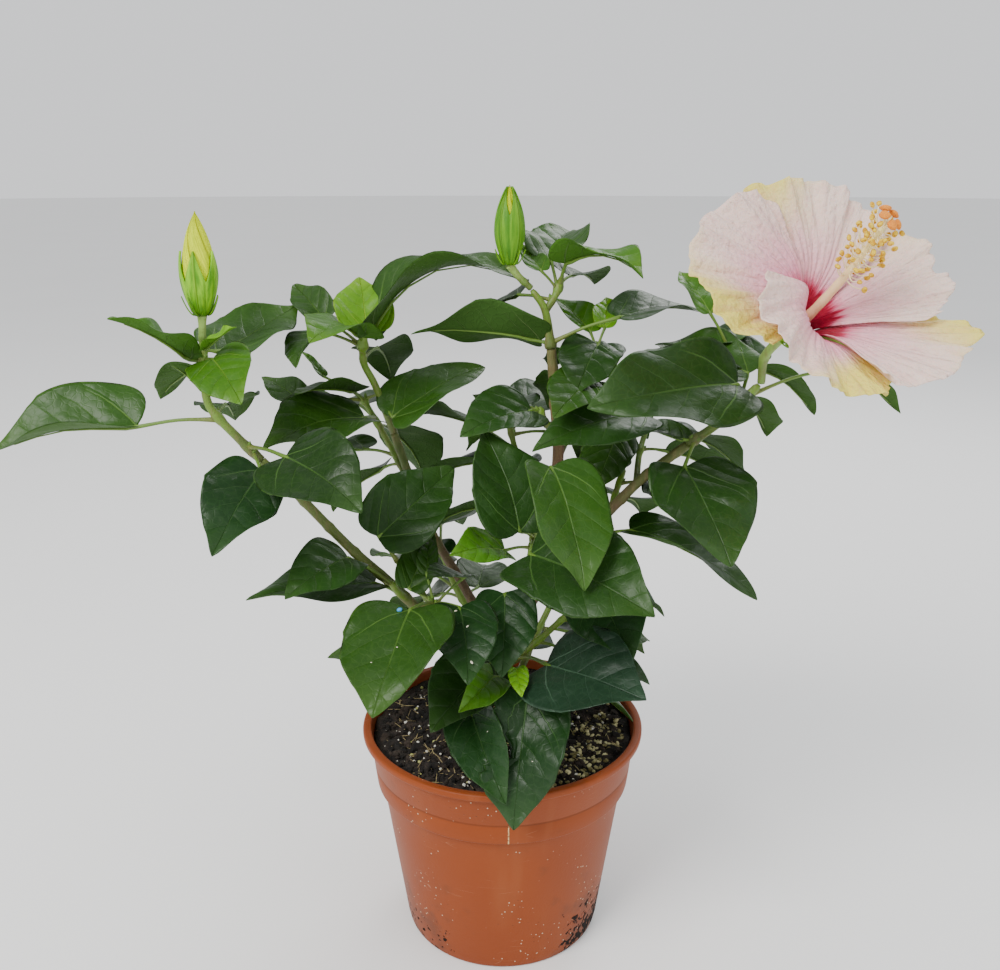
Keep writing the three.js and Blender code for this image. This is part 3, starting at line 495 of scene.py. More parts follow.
bark_crumb = mottled("bark_crumbs", 0.9, 160, 3, (17, 14, 12), (56, 45, 36),
                     limits=(0.35, 0.7), grain=(1500, 0.0004))
perlite = mottled("perlite", 0.85, 300, 3, (205, 200, 184), (240, 238, 230),
                  grain=(1800, 0.0003))
fertiliser = mottled("fertiliser_grains", 0.45, 200, 2, (156, 160, 84), (192, 190, 120))
lime = mottled("lime_flakes", 0.85, 160, 3, (96, 88, 44), (208, 200, 150),
               limits=(0.35, 0.65), grain=(1500, 0.0003))
root_fibre = mottled("root_fibres", 0.8, 120, 2, (112, 94, 60), (186, 170, 124))


def soil_bed(name, holds):
    """The compost's open top, or the part of it where a test holds"""
    faces = [face[::-1] for face in grid_faces(OPEN_RINGS, SOIL_SIDES, wrapped=True)]
    kept = [face for face in faces if holds(*soil_points[face[0]][:2])]
    return Heap(soil_points[:OPEN_RINGS * SOIL_SIDES], kept).mesh(name)


def strew(name, finish, bed_mesh, per_m2, smallest, largest, stretch, lift, seed):
    """Strews grains over a bed: per square metre, sizes in mm, length over width, lift in mm"""
    tree = bpy.data.node_groups.new(name, "GeometryNodeTree")
    for way in ("INPUT", "OUTPUT"):
        tree.interface.new_socket("Geometry", in_out=way, socket_type="NodeSocketGeometry")

    def node(kind, inputs=None, **settings):
        made = tree.nodes.new(kind)
        for setting, value in settings.items():
            setattr(made, setting, value)
        for socket, value in (inputs or {}).items():
            if isinstance(value, bpy.types.NodeSocket):
                tree.links.new(value, made.inputs[socket])
            else:
                made.inputs[socket].default_value = value
        return made.outputs

    bed_surface = node("NodeGroupInput")["Geometry"]
    spots = node("GeometryNodeDistributePointsOnFaces",
                 {"Mesh": bed_surface, "Density": per_m2, "Seed": seed})
    placed = node("GeometryNodeSetPosition",
                  {"Geometry": spots["Points"], "Offset": (0, 0, lift * MM)})
    ball = node("GeometryNodeMeshIcoSphere", {"Radius": 0.5, "Subdivisions": 1})
    grain = node("GeometryNodeTransform", {"Geometry": ball["Mesh"], "Scale": (stretch, 1, 0.8)})
    turn = node("FunctionNodeRandomValue",
                {0: (-0.5, -0.5, 0.0), 1: (0.5, 0.5, 6.28), "Seed": seed},
                data_type="FLOAT_VECTOR")
    size = node("FunctionNodeRandomValue", {2: smallest * MM, 3: largest * MM, "Seed": seed},
                data_type="FLOAT")
    strewn = node("GeometryNodeInstanceOnPoints",
                  {"Points": placed["Geometry"], "Instance": grain["Geometry"],
                   "Rotation": turn[0], "Scale": size[1]})
    real = node("GeometryNodeRealizeInstances", {"Geometry": strewn["Instances"]})
    node("NodeGroupOutput", {"Geometry": real["Geometry"]})

    bed = bpy.data.objects.new(name + "_bed", bed_mesh)
    bpy.context.scene.collection.objects.link(bed)
    bed.modifiers.new("strewn", "NODES").node_group = tree
    bpy.context.view_layer.update()
    evaluated = bed.evaluated_get(bpy.context.evaluated_depsgraph_get())
    mesh = bpy.data.meshes.new_from_object(evaluated)
    mesh.name = name
    mesh.materials.clear()  # the ball brings an empty slot of its own
    bpy.data.objects.remove(bed)
    piece = show(name, mesh, [finish])
    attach(piece, "root")


whole_top = soil_bed("compost_top", lambda x, y: True)
front_right = soil_bed("compost_front_right", lambda x, y: x - 0.7 * y > 40)
strew("compost_crumbs", bark_crumb, whole_top, 260000, 0.8, 3.4, 1.4, 0.2, 3)
strew("bark_chips", bark_crumb, whole_top, 18000, 2.2, 5.2, 1.9, 0.4, 8)
strew("perlite_grains", perlite, whole_top, 26000, 0.4, 2.1, 1.15, 0.6, 5)
strew("fertiliser_grains", fertiliser, whole_top, 5000, 0.9, 2.3, 1.1, 0.7, 11)
strew("root_fibres", root_fibre, whole_top, 26000, 0.3, 0.55, 18, 0.8, 17)
strew("lime_flakes", lime, front_right, 120000, 0.5, 2.8, 1.5, 0.8, 23)
bpy.data.meshes.remove(whole_top)
bpy.data.meshes.remove(front_right)


# Trunk and canes: one short woody stem with a flared foot, and four long canes, of which two leave
# the stem's top and two branch from the middle cane. They are thin-barked, brown where they are
# old and olive green higher up, with a swollen ring and a scar where each old leaf stood.
TRUNK_PATH = [(8, 5, SOIL_TOP - 2), (4, 5, 113), (1.5, 5, 124), (1, 5, 134)]
TRUNK_RADII = [7.6, 4.9, 4.3, 4.1]
CANE_SIDES = 18
JOINT_SPACING = 17
LIMB_SPOTS = 40


class Curve:
    """A smooth curve through a few points"""

    def __init__(self, points):
        self.points = np.array(points, float)

    def at(self, share):
        points = self.points
        spans = len(points) - 1
        place = share * spans
        span = min(int(place), spans - 1)
        t = place - span
        p1, p2 = points[span], points[span + 1]
        p0 = points[span - 1] if span > 0 else 2 * p1 - p2
        p3 = points[span + 2] if span + 2 <= spans else 2 * p2 - p1
        return 0.5 * (2 * p1 + (p2 - p0) * t + (2 * p0 - 5 * p1 + 4 * p2 - p3) * t * t
                      + (3 * p1 - p0 - 3 * p2 + p3) * t ** 3)

    def even(self, step):
        """Points at even distances, the share of the curve below each, and its length"""
        tries = np.linspace(0, 1, 40 * (len(self.points) - 1) + 1)
        fine = np.array([self.at(share) for share in tries])
        run = np.concatenate([[0], np.cumsum(np.linalg.norm(np.diff(fine, axis=0), axis=1))])
        length = run[-1]
        shares = np.linspace(0, 1, max(3, int(length / step)) + 1)
        points = np.stack([np.interp(shares * length, run, fine[:, i]) for i in range(3)], -1)
        return points, shares, length


def unit(vector):
    return vector / np.linalg.norm(vector)


def hump(distance, width):
    """1 in the middle, and down to a third at a width from it"""
    return np.exp(-(distance / width) ** 2)


def paired(across, along):
    """Places on a finish, from how far across and how far along each point is"""
    return np.stack(np.broadcast_arrays(across, along), -1)


def tube(path, radii, sides):
    """Rings along a path, closed at both ends: points, faces and how far round and along"""
    path = np.asarray(path, float)
    ways = np.gradient(path, axis=0)
    side = unit(np.cross(ways[0], (0.3, 0.9, 0.2)))
    turn = full_turn(sides)
    radii = np.broadcast_to(np.asarray(radii, float).reshape(len(path), -1), (len(path), sides))
    rings = []
    for centre, way, radius in zip(path, ways, radii):
        way = unit(way)
        side = unit(side - way * side.dot(way))
        spokes = np.cos(turn)[:, None] * side + np.sin(turn)[:, None] * np.cross(way, side)
        rings.append(centre + radius[:, None] * spokes)
    along = np.linspace(0, 1, len(path))
    uv = paired(turn[None, :] / (2 * math.pi), along[:, None])
    return np.concatenate(rings), closed_faces(len(path), sides), uv


def limb_radii(path, shares, length, foot, tip, seed):
    """A limb's girth at every point: its taper, its swollen joints and its uneven bark"""
    turn = full_turn(CANE_SIDES)
    run = shares * length
    taper = foot + (tip - foot) * shares
    nearest = np.abs((run + 3 * seed) / JOINT_SPACING % 1 - 0.5) * JOINT_SPACING
    joint = 0.13 * hump(nearest, 1.7) * (run > 4) * (run < length - 2)
    scar = np.cos(turn + 2.4 * np.floor(run / JOINT_SPACING)[:, None])
    girth = taper[:, None] * (1 + joint[:, None] * (1 + 0.5 * scar))
    for level, centre in enumerate(path):
        for place, angle in enumerate(turn):
            spot = Vector((centre[2] * 0.07 + seed, 1.3 * math.cos(angle), 1.3 * math.sin(angle)))
            girth[level, place] *= 1 + 0.05 * noise.noise(spot * 1.6) + 0.02 * noise.noise(spot * 6)
    return girth


def bark_finish(name, old, young, turns_at, roughness):
    """Bark that runs from its old colour at a limb's foot to its young colour at the tip"""
    finish = Finish(name, roughness=roughness)
    patchy = finish.noise(220, 5)
    lines = finish.noise(500, 4, (1, 1, 0.15))
    pores = finish.cells(900, "F1").ramp(0.22, 0.12)
    greened = (finish.along() + (patchy - 0.5) * 0.5).ramp(turns_at - 0.25, turns_at + 0.2)
    finish.paint(greened, old, young, (lines.ramp(0.45, 0.7) * 0.45, (126, 108, 72)),
                 (pores * 0.5, (150, 130, 92)), (patchy.ramp(0.6, 0.75) * 0.4, (70, 52, 34)))
    finish.set(roughness=lines * 0.25 + (roughness - 0.12))
    finish.relief(lines + pores * 0.6 + patchy * 0.5, 0.0004)
    return finish


trunk_bark = bark_finish("trunk_bark", (96, 76, 52), (112, 98, 62), 0.9, 0.8)
trunk_path, trunk_shares, trunk_length = Curve(TRUNK_PATH).even(0.8)
trunk_taper = np.interp(trunk_shares, np.linspace(0, 1, len(TRUNK_RADII)), TRUNK_RADII)
near_foot = hump(trunk_shares * trunk_length, 6)[:, None]
flare = 0.22 * near_foot * np.cos(3 * full_turn(CANE_SIDES) + 0.7)
trunk_girth = limb_radii(trunk_path, trunk_shares, trunk_length, 1, 1, 5)
trunk_girth = trunk_girth * trunk_taper[:, None] * (1 + flare)
trunk_heap = Heap(*tube(trunk_path, trunk_girth, CANE_SIDES))
dress("trunk_of_bark", trunk_heap, [trunk_bark], ["trunk"])

BOUGHS = [
    ("bough_centre", [(1, 5, 134.3), (4, 5, 145), (12, 5, 170), (18, 5, 193), (26, 5, 241),
                      (24, 0, 274), (22, 0, 297.7)], 3.7, 2.2,
     bark_finish("red_brown_bark", (104, 70, 46), (86, 94, 42), 0.92, 0.68)),
    ("bough_left", [(-1, 3, 128), (-6, 0, 133), (-28, -6, 157), (-49, -10, 183), (-71, -15, 207),
                    (-96, -20, 238), (-107.8, -21, 250.7)], 2.8, 2,
     bark_finish("olive_bark", (88, 80, 42), (90, 106, 42), 0.35, 0.6)),
    ("bough_centre_left", [(2, 6, 140), (-5, 10, 150), (-22, 16, 180), (-36, 20, 204),
                           (-48, 25, 236), (-53, 25, 251.7)], 2.4, 2,
     bark_finish("green_brown_bark", (88, 68, 42), (78, 96, 36), 0.6, 0.62)),
    ("bough_right", [(11, 5, 165), (27, -5, 197), (43, -10, 216), (63, -15, 240),
                     (82.8, -18.9, 257.7)], 2.6, 2.1,
     bark_finish("brown_bark", (92, 70, 44), (86, 96, 40), 0.7, 0.64)),
]
limb_spots = []
for seed, (name, points, foot, tip, finish) in enumerate(BOUGHS):
    curve = Curve(points)
    path, shares, length = curve.even(1.1)
    girth = limb_radii(path, shares, length, foot, tip, seed + 1)
    dress(name + "_bark", Heap(*tube(path, girth, CANE_SIDES)), [finish], [name])
    limb_spots.extend(curve.at(place / LIMB_SPOTS) for place in range(LIMB_SPOTS + 1))


# Pruned stub: an old shoot on the left cane that was cut off square. Its skin is still green, and
# its cut end has dried to a tan disc.
STUB_PATH = [(-26, -5.5, 155), (-32, -13, 166), (-37, -18, 178)]
stub_skin = bark_finish("stub_skin", (132, 134, 78), (128, 142, 76), 0.5, 0.6)
stub_end = mottled("dry_cut_wood", 0.85, 900, 3, (150, 122, 84), (196, 168, 122))
stub_path, stub_shares, stub_length = Curve(STUB_PATH).even(0.8)
stub_girth = limb_radii(stub_path, stub_shares, stub_length, 2, 2.2, 9)
stub_points, stub_faces, stub_uv = tube(stub_path, stub_girth, CANE_SIDES)
stub_heap = Heap(stub_points, stub_faces, stub_uv, [0] * (len(stub_faces) - 1) + [1])
dress("pruned_shoot", stub_heap, [stub_skin, stub_end], ["pruned_stub"])


# Foliage: eighteen masses, each of one or two green shoots from a cane's tip or joint, with broad
# leaves set round it. The leaves that the photograph shows are listed one by one, and those behind
# them grow by the part's own seeded rule.

# A shoot is its node, path, foot radius, tip radius, leaves and filling. A leaf is its share of the
# shoot, the heading and rise of its stalk, the stalk's and the blade's length, the blade's pitch,
# turn from the stalk, roll, curl, width over length and fold, and its tint. A filling is the count
# of further leaves, and the least and greatest of their heading, rise and blade.
FOLIAGE = [
    ("foliage_left", [(-108, -21, 251), (-117, -22, 261), (-129, -22, 276),
                      (-130, -22, 290), (-130, -22, 302)],
     2, 1.7, [
        (0.4, 185, -4, 36, 64, -6, 0, -18, 20, 0.72, 34, "mid"),
        (0.85, 180, 15, 6, 48, 30, 65, -10, 15, 0.42, 30, "bright"),
        (0.7, 210, -10, 4, 22, 35, 40, 0, 10, 0.4, 20, "mid"),
        (0.88, 315, 10, 8, 36, -20, -10, 25, 25, 0.8, 14, "bright"),
        (0.97, 30, -10, 6, 58, 16, 30, 15, -15, 0.6, 14, "mid"),
        (0.98, 295, 10, 7, 24, 28, 25, 30, 10, 0.35, 30, "young"),
        (0.17, 320, 0, 27, 56, -10, -5, 30, 25, 0.72, 14, "dark"),
        (0.1, 298, -25, 13, 52, -25, -42, -15, 15, 0.68, 16, "deep"),
    ], (2, 60, 130, 0, 40, 30, 46)),
    ("foliage_left_low", [(-44, -9, 178), (-49, -14, 184), (-52, -18, 191)],
     1.8, 1.4, [
        (0.9, 200, 38, 26, 41, -10, 36, -25, 45, 0.7, 14, "dark"),
        (0.5, 172, 20, 12, 62, 5, 38, -10, 15, 0.55, 14, "dark"),
    ]),
    ("foliage_centre_left", [(-53, 25, 252), (-61, 22, 276), (-66, 20, 288), (-65, 15, 302)],
     2, 1.5, [
        (0.85, 168, 34, 22, 34, 25, -40, -30, 10, 0.55, 25, "mid"),
        (0.85, 180, 20, 22, 36, -18, 78, 20, 20, 0.6, 20, "mid"),
        (0.89, 262, 36, 7, 42, 6, -20, -10, 60, 0.8, 14, "bright"),
        (0.97, 300, 42, 5, 30, 51, 160, 0, 10, 0.95, 14, "young"),
        (0.96, 316, 30, 9, 86, 17, 44, 5, 100, 0.5, 20, "mid"),
        (0.21, 300, -25, 13, 55, 22, 85, 20, 30, 0.65, 14, "mid"),
    ], (3, 50, 140, 0, 40, 34, 48)),
    ("foliage_back_left", [(-45, 26, 224), (-56, 36, 242), (-70, 42, 266)],
     1.8, 1.3, [
        (0.79, 263, 15, 20, 60, -3, -37, -15, 30, 0.75, 14, "mid"),
        (0.98, 186, 32, 23, 18, 40, -40, 0, 5, 0.4, 25, "bright"),
        (0.98, 200, 0, 30, 32, 21, -60, -20, 10, 0.55, 14, "mid"),
        (0.96, 250, 33, 13, 40, 10, -15, 10, 20, 0.65, 14, "mid"),
        (0.98, 345, 18, 20, 30, 11, 60, 0, 10, 0.55, 14, "mid"),
    ], (4, 60, 150, -25, 20, 38, 55)),
    ("foliage_centre", [(22, 0, 298), (19, 0, 315), (13, 0, 324)],
     2.2, 1.5, [
        (0.02, 150, 20, 6, 60, 6, 40, 35, 25, 0.6, 14, "dark"),
        (0.06, 352, 22, 33, 46, 2, 36, 10, 25, 0.62, 14, "dark"),
    ]),
    ("foliage_centre", [(19, 0, 314), (24, 3, 322), (27, 6, 330)],
     1.6, 1.2, [
        (0.6, 130, 70, 14, 44, 15, -54, 0, 20, 0.75, 25, "mid"),
        (0.7, 290, 55, 13, 48, -2, 20, -5, 60, 0.6, 20, "bright"),
        (0.6, 210, 45, 13, 22, 30, -90, 0, 10, 0.6, 14, "bright"),
    ], (2, 50, 150, -10, 20, 34, 46)),
    ("foliage_centre_mid", [(27, 7, 246), (38, 8, 272), (44, 12, 296)],
     1.8, 1.3, [
        (0.98, 140, 65, 9, 36, 23, -20, 0, 15, 0.5, 25, "bright"),
        (0.98, 35, 65, 11, 24, 31, 45, 0, 10, 0.55, 25, "young"),
        (0.98, 275, 40, 5, 40, -24, -25, -10, 20, 0.75, 14, "dark"),
        (0.7, 265, 9, 22, 36, -15, -25, -20, 20, 0.75, 14, "mid"),
        (0.56, 320, -9, 33, 62, -5, -110, -30, 25, 0.5, 14, "dark"),
    ], (3, 40, 130, -20, 30, 38, 52)),
    ("foliage_centre_inner", [(25.5, 3, 256), (20, 3, 263), (17, 2, 270)],
     1.7, 1.3, [
        (0.85, 218, 12, 6, 42, -6, 0, -25, 25, 0.75, 14, "dark"),
    ], (2, 110, 190, -20, 20, 36, 50)),
    ("foliage_front", [(5, 3, 148), (9, -16, 184), (14, -26, 215), (16, -30, 245)],
     2.2, 1.4, [
        (0.68, 250, 25, 22, 50, 53, -134, 0, 20, 0.8, 14, "dark"),
        (0.98, 282, 32, 24, 58, -43, 7, -10, 25, 0.68, 14, "mid"),
        (0.67, 265, 5, 26, 66, -8, 52, 30, 30, 0.75, 14, "dark"),
        (0.62, 232, 13, 21, 34, 13, -6, -30, 25, 0.65, 14, "bright"),
        (0.35, 225, 12, 12, 40, -45, 45, 0, 15, 0.75, 14, "deep"),
    ]),
    ("foliage_front_left", [(-20, -3.8, 148.5), (-24, -15, 163), (-31, -24, 178), (-32, -27, 185)],
     2, 1.4, [
        (0.85, 15, 41, 20, 26, 16, -145, 0, 20, 0.8, 14, "dark"),
        (0.98, 171, 28, 13, 30, 43, -108, 25, 10, 0.65, 20, "mid"),
        (0.98, 146, 75, 14, 20, 40, -60, 0, 10, 0.5, 20, "mid"),
        (0.97, 250, 15, 26, 56, -27, 7, 0, 25, 0.84, 12, "mid"),
        (0.97, 315, 10, 18, 42, -26, -34, 0, 20, 0.75, 14, "deep"),
    ]),
    ("foliage_front_left", [(-31, -24, 178), (-40, -19, 190), (-50, -18, 203)],
     1.5, 1.1, [
        (0.95, 220, 55, 17, 52, 28, 179, 35, 15, 0.72, 14, "dark"),
    ]),
    ("foliage_front_low", [(6, 2, 113), (8, -15, 130), (2, -28, 146)],
     1.9, 1.3, [
        (0.9, 166, 48, 13, 48, -19, 66, -20, 20, 0.75, 14, "dark"),
        (0.98, 235, 30, 13, 32, -5, 7, -40, 30, 0.6, 30, "bright"),
        (0.9, 222, -16, 25, 47, -32, 71, 30, 30, 0.64, 30, "deep"),
        (0.88, 290, 12, 23, 59, -54, -32, 0, 20, 0.75, 14, "deep"),
        (0.98, 286, 42, 20, 18, -16, -12, 0, 10, 0.55, 14, "young"),
        (0.9, 350, 14, 15, 26, -24, -75, -60, 15, 0.6, 14, "mid"),
    ]),
    ("foliage_front_right", [(2, 3, 137), (20, -6, 158), (36, -10, 176)],
     2, 1.4, [
        (0.15, 290, 20, 40, 56, 2, 24, 30, 25, 0.85, 12, "blue"),
        (0.98, 336, 37, 13, 44, -19, -47, 20, 20, 0.86, 14, "deep"),
    ], (3, 330, 400, -25, 10, 34, 46)),
    ("foliage_right", [(83, -19, 258), (96, -25, 270), (110, -30, 287)],
     2.1, 1.8, [
        (0.07, 204, 11, 5, 34, 2, -74, 0, 10, 0.65, 14, "mid"),
        (0.82, 235, 40, 12, 70, -5, -34, -40, 25, 0.66, 14, "dark"),
        (0.75, 54, 62, 14, 50, 10, 86, -20, 25, 0.6, 14, "mid"),
        (0.85, 20, 12, 45, 46, -29, 3, 0, 20, 0.4, 14, "mid"),
        (0.12, 235, -45, 15, 54, -34, 52, 0, 20, 0.9, 12, "dark"),
    ]),
    ("foliage_right", [(92, -23, 266), (98, -12, 284), (102, -6, 298)],
     1.5, 1.1, [
        (0.85, 40, 56, 9, 38, -11, 82, -10, 20, 0.7, 14, "mid"),
        (0.75, 333, 5, 12, 42, 7, 152, -10, 20, 0.7, 14, "dark"),
        (0.98, 180, 60, 20, 30, 34, -61, 0, 15, 0.6, 14, "bright"),
    ], (4, 20, 130, -20, 20, 36, 52)),
    ("foliage_right_low", [(41, -9.5, 214), (46, -8, 212), (51, -7, 211)],
     1.6, 1.3, [
        (0.85, 8, 5, 11, 68, -22, -30, 0, 35, 0.55, 14, "dark"),
    ]),
    ("foliage_right_mid", [(50, -11.7, 224), (53, -5, 231), (57, 1, 240)],
     1.6, 1.2, [
        (0.7, 352, 5, 19, 34, -12, -71, 10, 15, 0.65, 14, "dark"),
        (0.8, 100, 60, 20, 32, -36, 145, -10, 15, 0.82, 14, "mid"),
    ], (2, 40, 110, -20, 10, 36, 50)),
    ("foliage_back_low_left", [(0, 9, 122), (-12, 26, 146), (-26, 40, 168), (-34, 48, 188)],
     2, 1.4, [], (6, 60, 160, -15, 30, 42, 60)),
    ("foliage_back_low_right", [(4, 9, 118), (16, 26, 140), (28, 38, 162), (36, 44, 184)],
     2, 1.4, [], (6, -10, 120, -30, 20, 42, 60)),
    ("foliage_back_mid", [(17, 8, 194), (14, 26, 214), (8, 40, 234), (2, 48, 256)],
     1.9, 1.3, [], (7, 10, 200, -20, 30, 42, 60)),
    ("foliage_back_right", [(61, -14.5, 237.5), (65, 6, 248), (72, 24, 260)],
     1.6, 1.2, [], (4, 0, 130, -20, 20, 38, 52)),
]
LEAF_BASE_SWEEP = 0.16
TIP_NARROWING = 0.4
LEAF_SPACING = 6.5
FILL_SEED = 4711
FILL_TRIES = 60
CHANCE_STEP = 16807
CHANCE_RANGE = 2147483647
FILL_TINTS = ("deep", "mid", "dark", "deep", "mid")


def direction(heading, rise):
    heading, rise = math.radians(heading), math.radians(rise)
    flat = math.cos(rise)
    return np.array([math.cos(heading) * flat, math.sin(heading) * flat, math.sin(rise)])


def frame_of(heading, rise):
    """The way forward, the level way to its left, and the way up from both"""
    forward, side = direction(heading, rise), direction(heading + 90, 0)
    return forward, side, np.cross(forward, side)


def smooth(value, low, high):
    share = np.clip((value - low) / (high - low), 0, 1)
    return share * share * (3 - 2 * share)


def leaf_outline(share):
    """Round at the base, widest a third of the way up and drawn out to the tip"""
    drawn_out = 1 - TIP_NARROWING * smooth(share, 0.6, 0.98)
    return 2.147 * (1 - share) ** 0.75 * share ** 0.42 * drawn_out


class Leaf:
    """A leaf's place and measures, worked out from its line in the list"""

    def __init__(self, curve, line, tint):
        share, heading, rise, stalk, blade, pitch, turn, roll, curl, width, fold = line
        self.seat = curve.at(share)
        self.base = self.seat + direction(heading, rise) * stalk
        self.forward, side, up = frame_of(heading + turn, pitch)
        lean = math.radians(roll)
        self.side = side * math.cos(lean) + up * math.sin(lean)
        self.up = up * math.cos(lean) - side * math.sin(lean)
        self.blade, self.curl, self.fold = blade, math.radians(curl), math.radians(fold)
        self.half = blade * width / 2
        self.tint = tint
        self.left_edge = None

    def point(self, share, across, lift=0.0, widen=1.0, aside=0.0):
        """Points of the blade: share from base to tip, across from -1 at one edge to 1"""
        bend = self.curl * (0.5 - share)
        ahead = self.blade / self.curl * (math.sin(self.curl / 2) - np.sin(bend))
        arch = self.blade / self.curl * (np.cos(bend) - math.cos(self.curl / 2))
        width = leaf_outline(share) * self.half * across * widen
        raised = np.abs(width) * math.sin(self.fold) + lift
        swept = LEAF_BASE_SWEEP * self.blade * (1 - share) ** 2 * np.abs(width / self.half)
        forward = ahead - raised * np.sin(bend) - swept * np.cos(bend)
        upward = arch + raised * np.cos(bend) - swept * np.sin(bend)
        sideways = width * math.cos(self.fold) + aside
        return (self.base + forward[..., None] * self.forward + upward[..., None] * self.up
                + sideways[..., None] * self.side)

    def spots(self):
        """Points over the blade, by which the rule keeps leaves apart"""
        share, across = np.meshgrid(0.06 + 0.17 * np.arange(6), 0.45 * np.arange(-2, 3),
                                    indexing="ij")
        return self.point(share, across).reshape(-1, 3)


class Shoot:
    """A green shoot: its curve, and the leaves along it"""

    def __init__(self, node, path, foot, tip, lines, filling=(0,) * 7):
        self.node, self.foot, self.tip, self.filling = node, foot, tip, filling
        self.curve = Curve(path)
        self.leaves = [Leaf(self.curve, line[:-1], line[-1]) for line in lines]


shoots = [Shoot(*row) for row in FOLIAGE]
leaf_of = {(shoot.node, place): leaf for shoot in shoots for place, leaf in enumerate(shoot.leaves)}
taken = np.concatenate([limb_spots] + [leaf.spots() for shoot in shoots for leaf in shoot.leaves])


class Chance:
    """The part's own seeded numbers, so that the same leaves grow here"""

    def __init__(self, seed):
        self.state = seed

    def __call__(self, low, high):
        self.state = self.state * CHANCE_STEP % CHANCE_RANGE
        return low + (high - low) * self.state / CHANCE_RANGE


chance = Chance(FILL_SEED)
for shoot in shoots:
    count, heading_from, heading_to, rise_from, rise_to, shortest, longest = shoot.filling
    grown = 0
    for attempt in range(FILL_TRIES):
        if grown >= count:
            break
        blade = chance(shortest, longest)
        rise = chance(rise_from, rise_to)
        line = [chance(0.2, 0.98), chance(heading_from, heading_to), rise]
        line += [blade * chance(0.25, 0.5), blade, rise * 0.4 - chance(5, 40)]
        line += [chance(-25, 25), chance(-25, 25), chance(12, 35)]
        line += [chance(0.62, 0.8), chance(10, 18)]
        leaf = Leaf(shoot.curve, line, FILL_TINTS[attempt % len(FILL_TINTS)])
        spots = leaf.spots()
        nearest = np.linalg.norm(spots[:, None] - taken[None], axis=2).min()
        if spots[:, 2].min() > POT_HEIGHT + 3 and nearest > LEAF_SPACING:
            shoot.leaves.append(leaf)
            taken = np.concatenate([taken, spots])
            grown += 1


# Blades: thin, satin-glossy leaves with a few shallow teeth towards the drawn-out tip. Three main
# veins leave the base, fine ones branch from the midrib, and the underside is pale. A pale line
# painted along the edge stands for the highlight that the margin catches.
STATIONS = 0.004 + 0.993 * np.linspace(0, 1, 36)[:, None] ** 1.2
HALF_ACROSS = np.array([1, 0.93, 0.8, 0.64, 0.48, 0.32, 0.16])
BLADE_THICKNESS = 0.4
TEETH_PER_SIDE = 3
TOOTH_DEPTH = 0.035
SIDE_VEINS = 4.4
EATEN_FROM_BASE = [0.04, 0.1, 0.47, 0.5, 0.6, 0.76]
EATEN_WIDTH = [1, 0.95, 0.12, 0.5, 0.8, 1]
PALE_UNDERSIDE = (78, 116, 46)
LEAF_TINTS = {
    "blue": ((31, 56, 37), (74, 104, 80), 0.38),
    "deep": ((23, 54, 19), (68, 102, 50), 0.38),
    "dark": ((28, 58, 14), (74, 110, 46), 0.39),
    "mid": ((38, 72, 14), (86, 122, 46), 0.4),
    "bright": ((56, 102, 10), (116, 156, 44), 0.43),
    "young": ((90, 144, 8), (156, 192, 50), 0.45),
}

top_across = np.concatenate([HALF_ACROSS, [0], -HALF_ACROSS[::-1]])
RING = np.concatenate([top_across, top_across[-2:0:-1]])[None, :]
UNDERSIDE = np.array([0] * len(top_across) + [1] * (len(top_across) - 2))[None, :]


def add_blade(heap, leaf, dice):
    """One leaf blade, closed and thin, with its own waves, teeth and bent tip"""
    share, across = np.broadcast_arrays(STATIONS, RING)
    edge = np.abs(across)
    lean = np.sign(across)
    grown = np.sin(math.pi * share) ** 0.6
    phase, waves = dice.uniform(0, 6.28), dice.uniform(0.9, 1.9)
    apart = lean * dice.uniform(0.5, 1.8)
    wave = 0.05 * edge ** 2 * np.sin(2 * math.pi * waves * share + phase + apart)
    swell = 0.012 * np.sin(7.5 * share + phase) * np.sin(3.5 * across + 2 * phase)
    blister = 0.005 * np.sin(21 * share - 5 * edge + phase) * np.sin(math.pi * edge)
    droop = -0.035 * share ** 3
    lift = leaf.blade * ((wave + swell + blister) * grown + droop)
    lift = lift - 0.5 * BLADE_THICKNESS * (1 - 0.85 * edge ** 4) * (2 * UNDERSIDE - 1)
    widen = 1 + 0.05 * np.sin(5 * share + phase) * lean
    for way in (1, -1):
        for peak in dice.uniform(0.42, 0.88, TEETH_PER_SIDE):
            before = (share - peak) / 0.1
            tooth = np.where((before > -1) & (before <= 0), (1 + before) ** 2, 0)
            widen = widen + TOOTH_DEPTH * tooth * edge ** 5 * (lean == way)
    if leaf.left_edge:
        ragged = 0.05 * np.sin(60 * share) + 0.04 * np.sin(113 * share)
        eaten = np.interp(share, *leaf.left_edge)
        widen = widen * np.where(lean < 0, np.minimum(1, eaten + ragged * (eaten < 0.94)), 1)
    aside = leaf.blade * dice.uniform(-0.06, 0.06) * share ** 2.5
    points = leaf.point(share, across, lift, widen, aside)
    top_middle, under_middle = len(HALF_ACROSS), len(top_across) + len(HALF_ACROSS) - 1
    leaf.rib = points[:, under_middle]
    leaf.rib_up = np.array([unit(way) for way in points[:, top_middle] - leaf.rib])
    rows, columns = share.shape
    below = [int(place % columns >= len(top_across) - 1) for place in range((rows - 1) * columns)]
    flat = leaf_outline(share) * across * leaf.half / leaf.blade
    ahead = share - LEAF_BASE_SWEEP * (1 - share) ** 2 * leaf_outline(share) * edge
    heap.add(points, closed_faces(rows, columns), paired(flat + 0.5, ahead), below + [0, 0],
             edge=np.ravel(edge), tone=dice.uniform(0, 1))


leaf_of["foliage_front_low", 3].left_edge = (EATEN_FROM_BASE, EATEN_WIDTH)


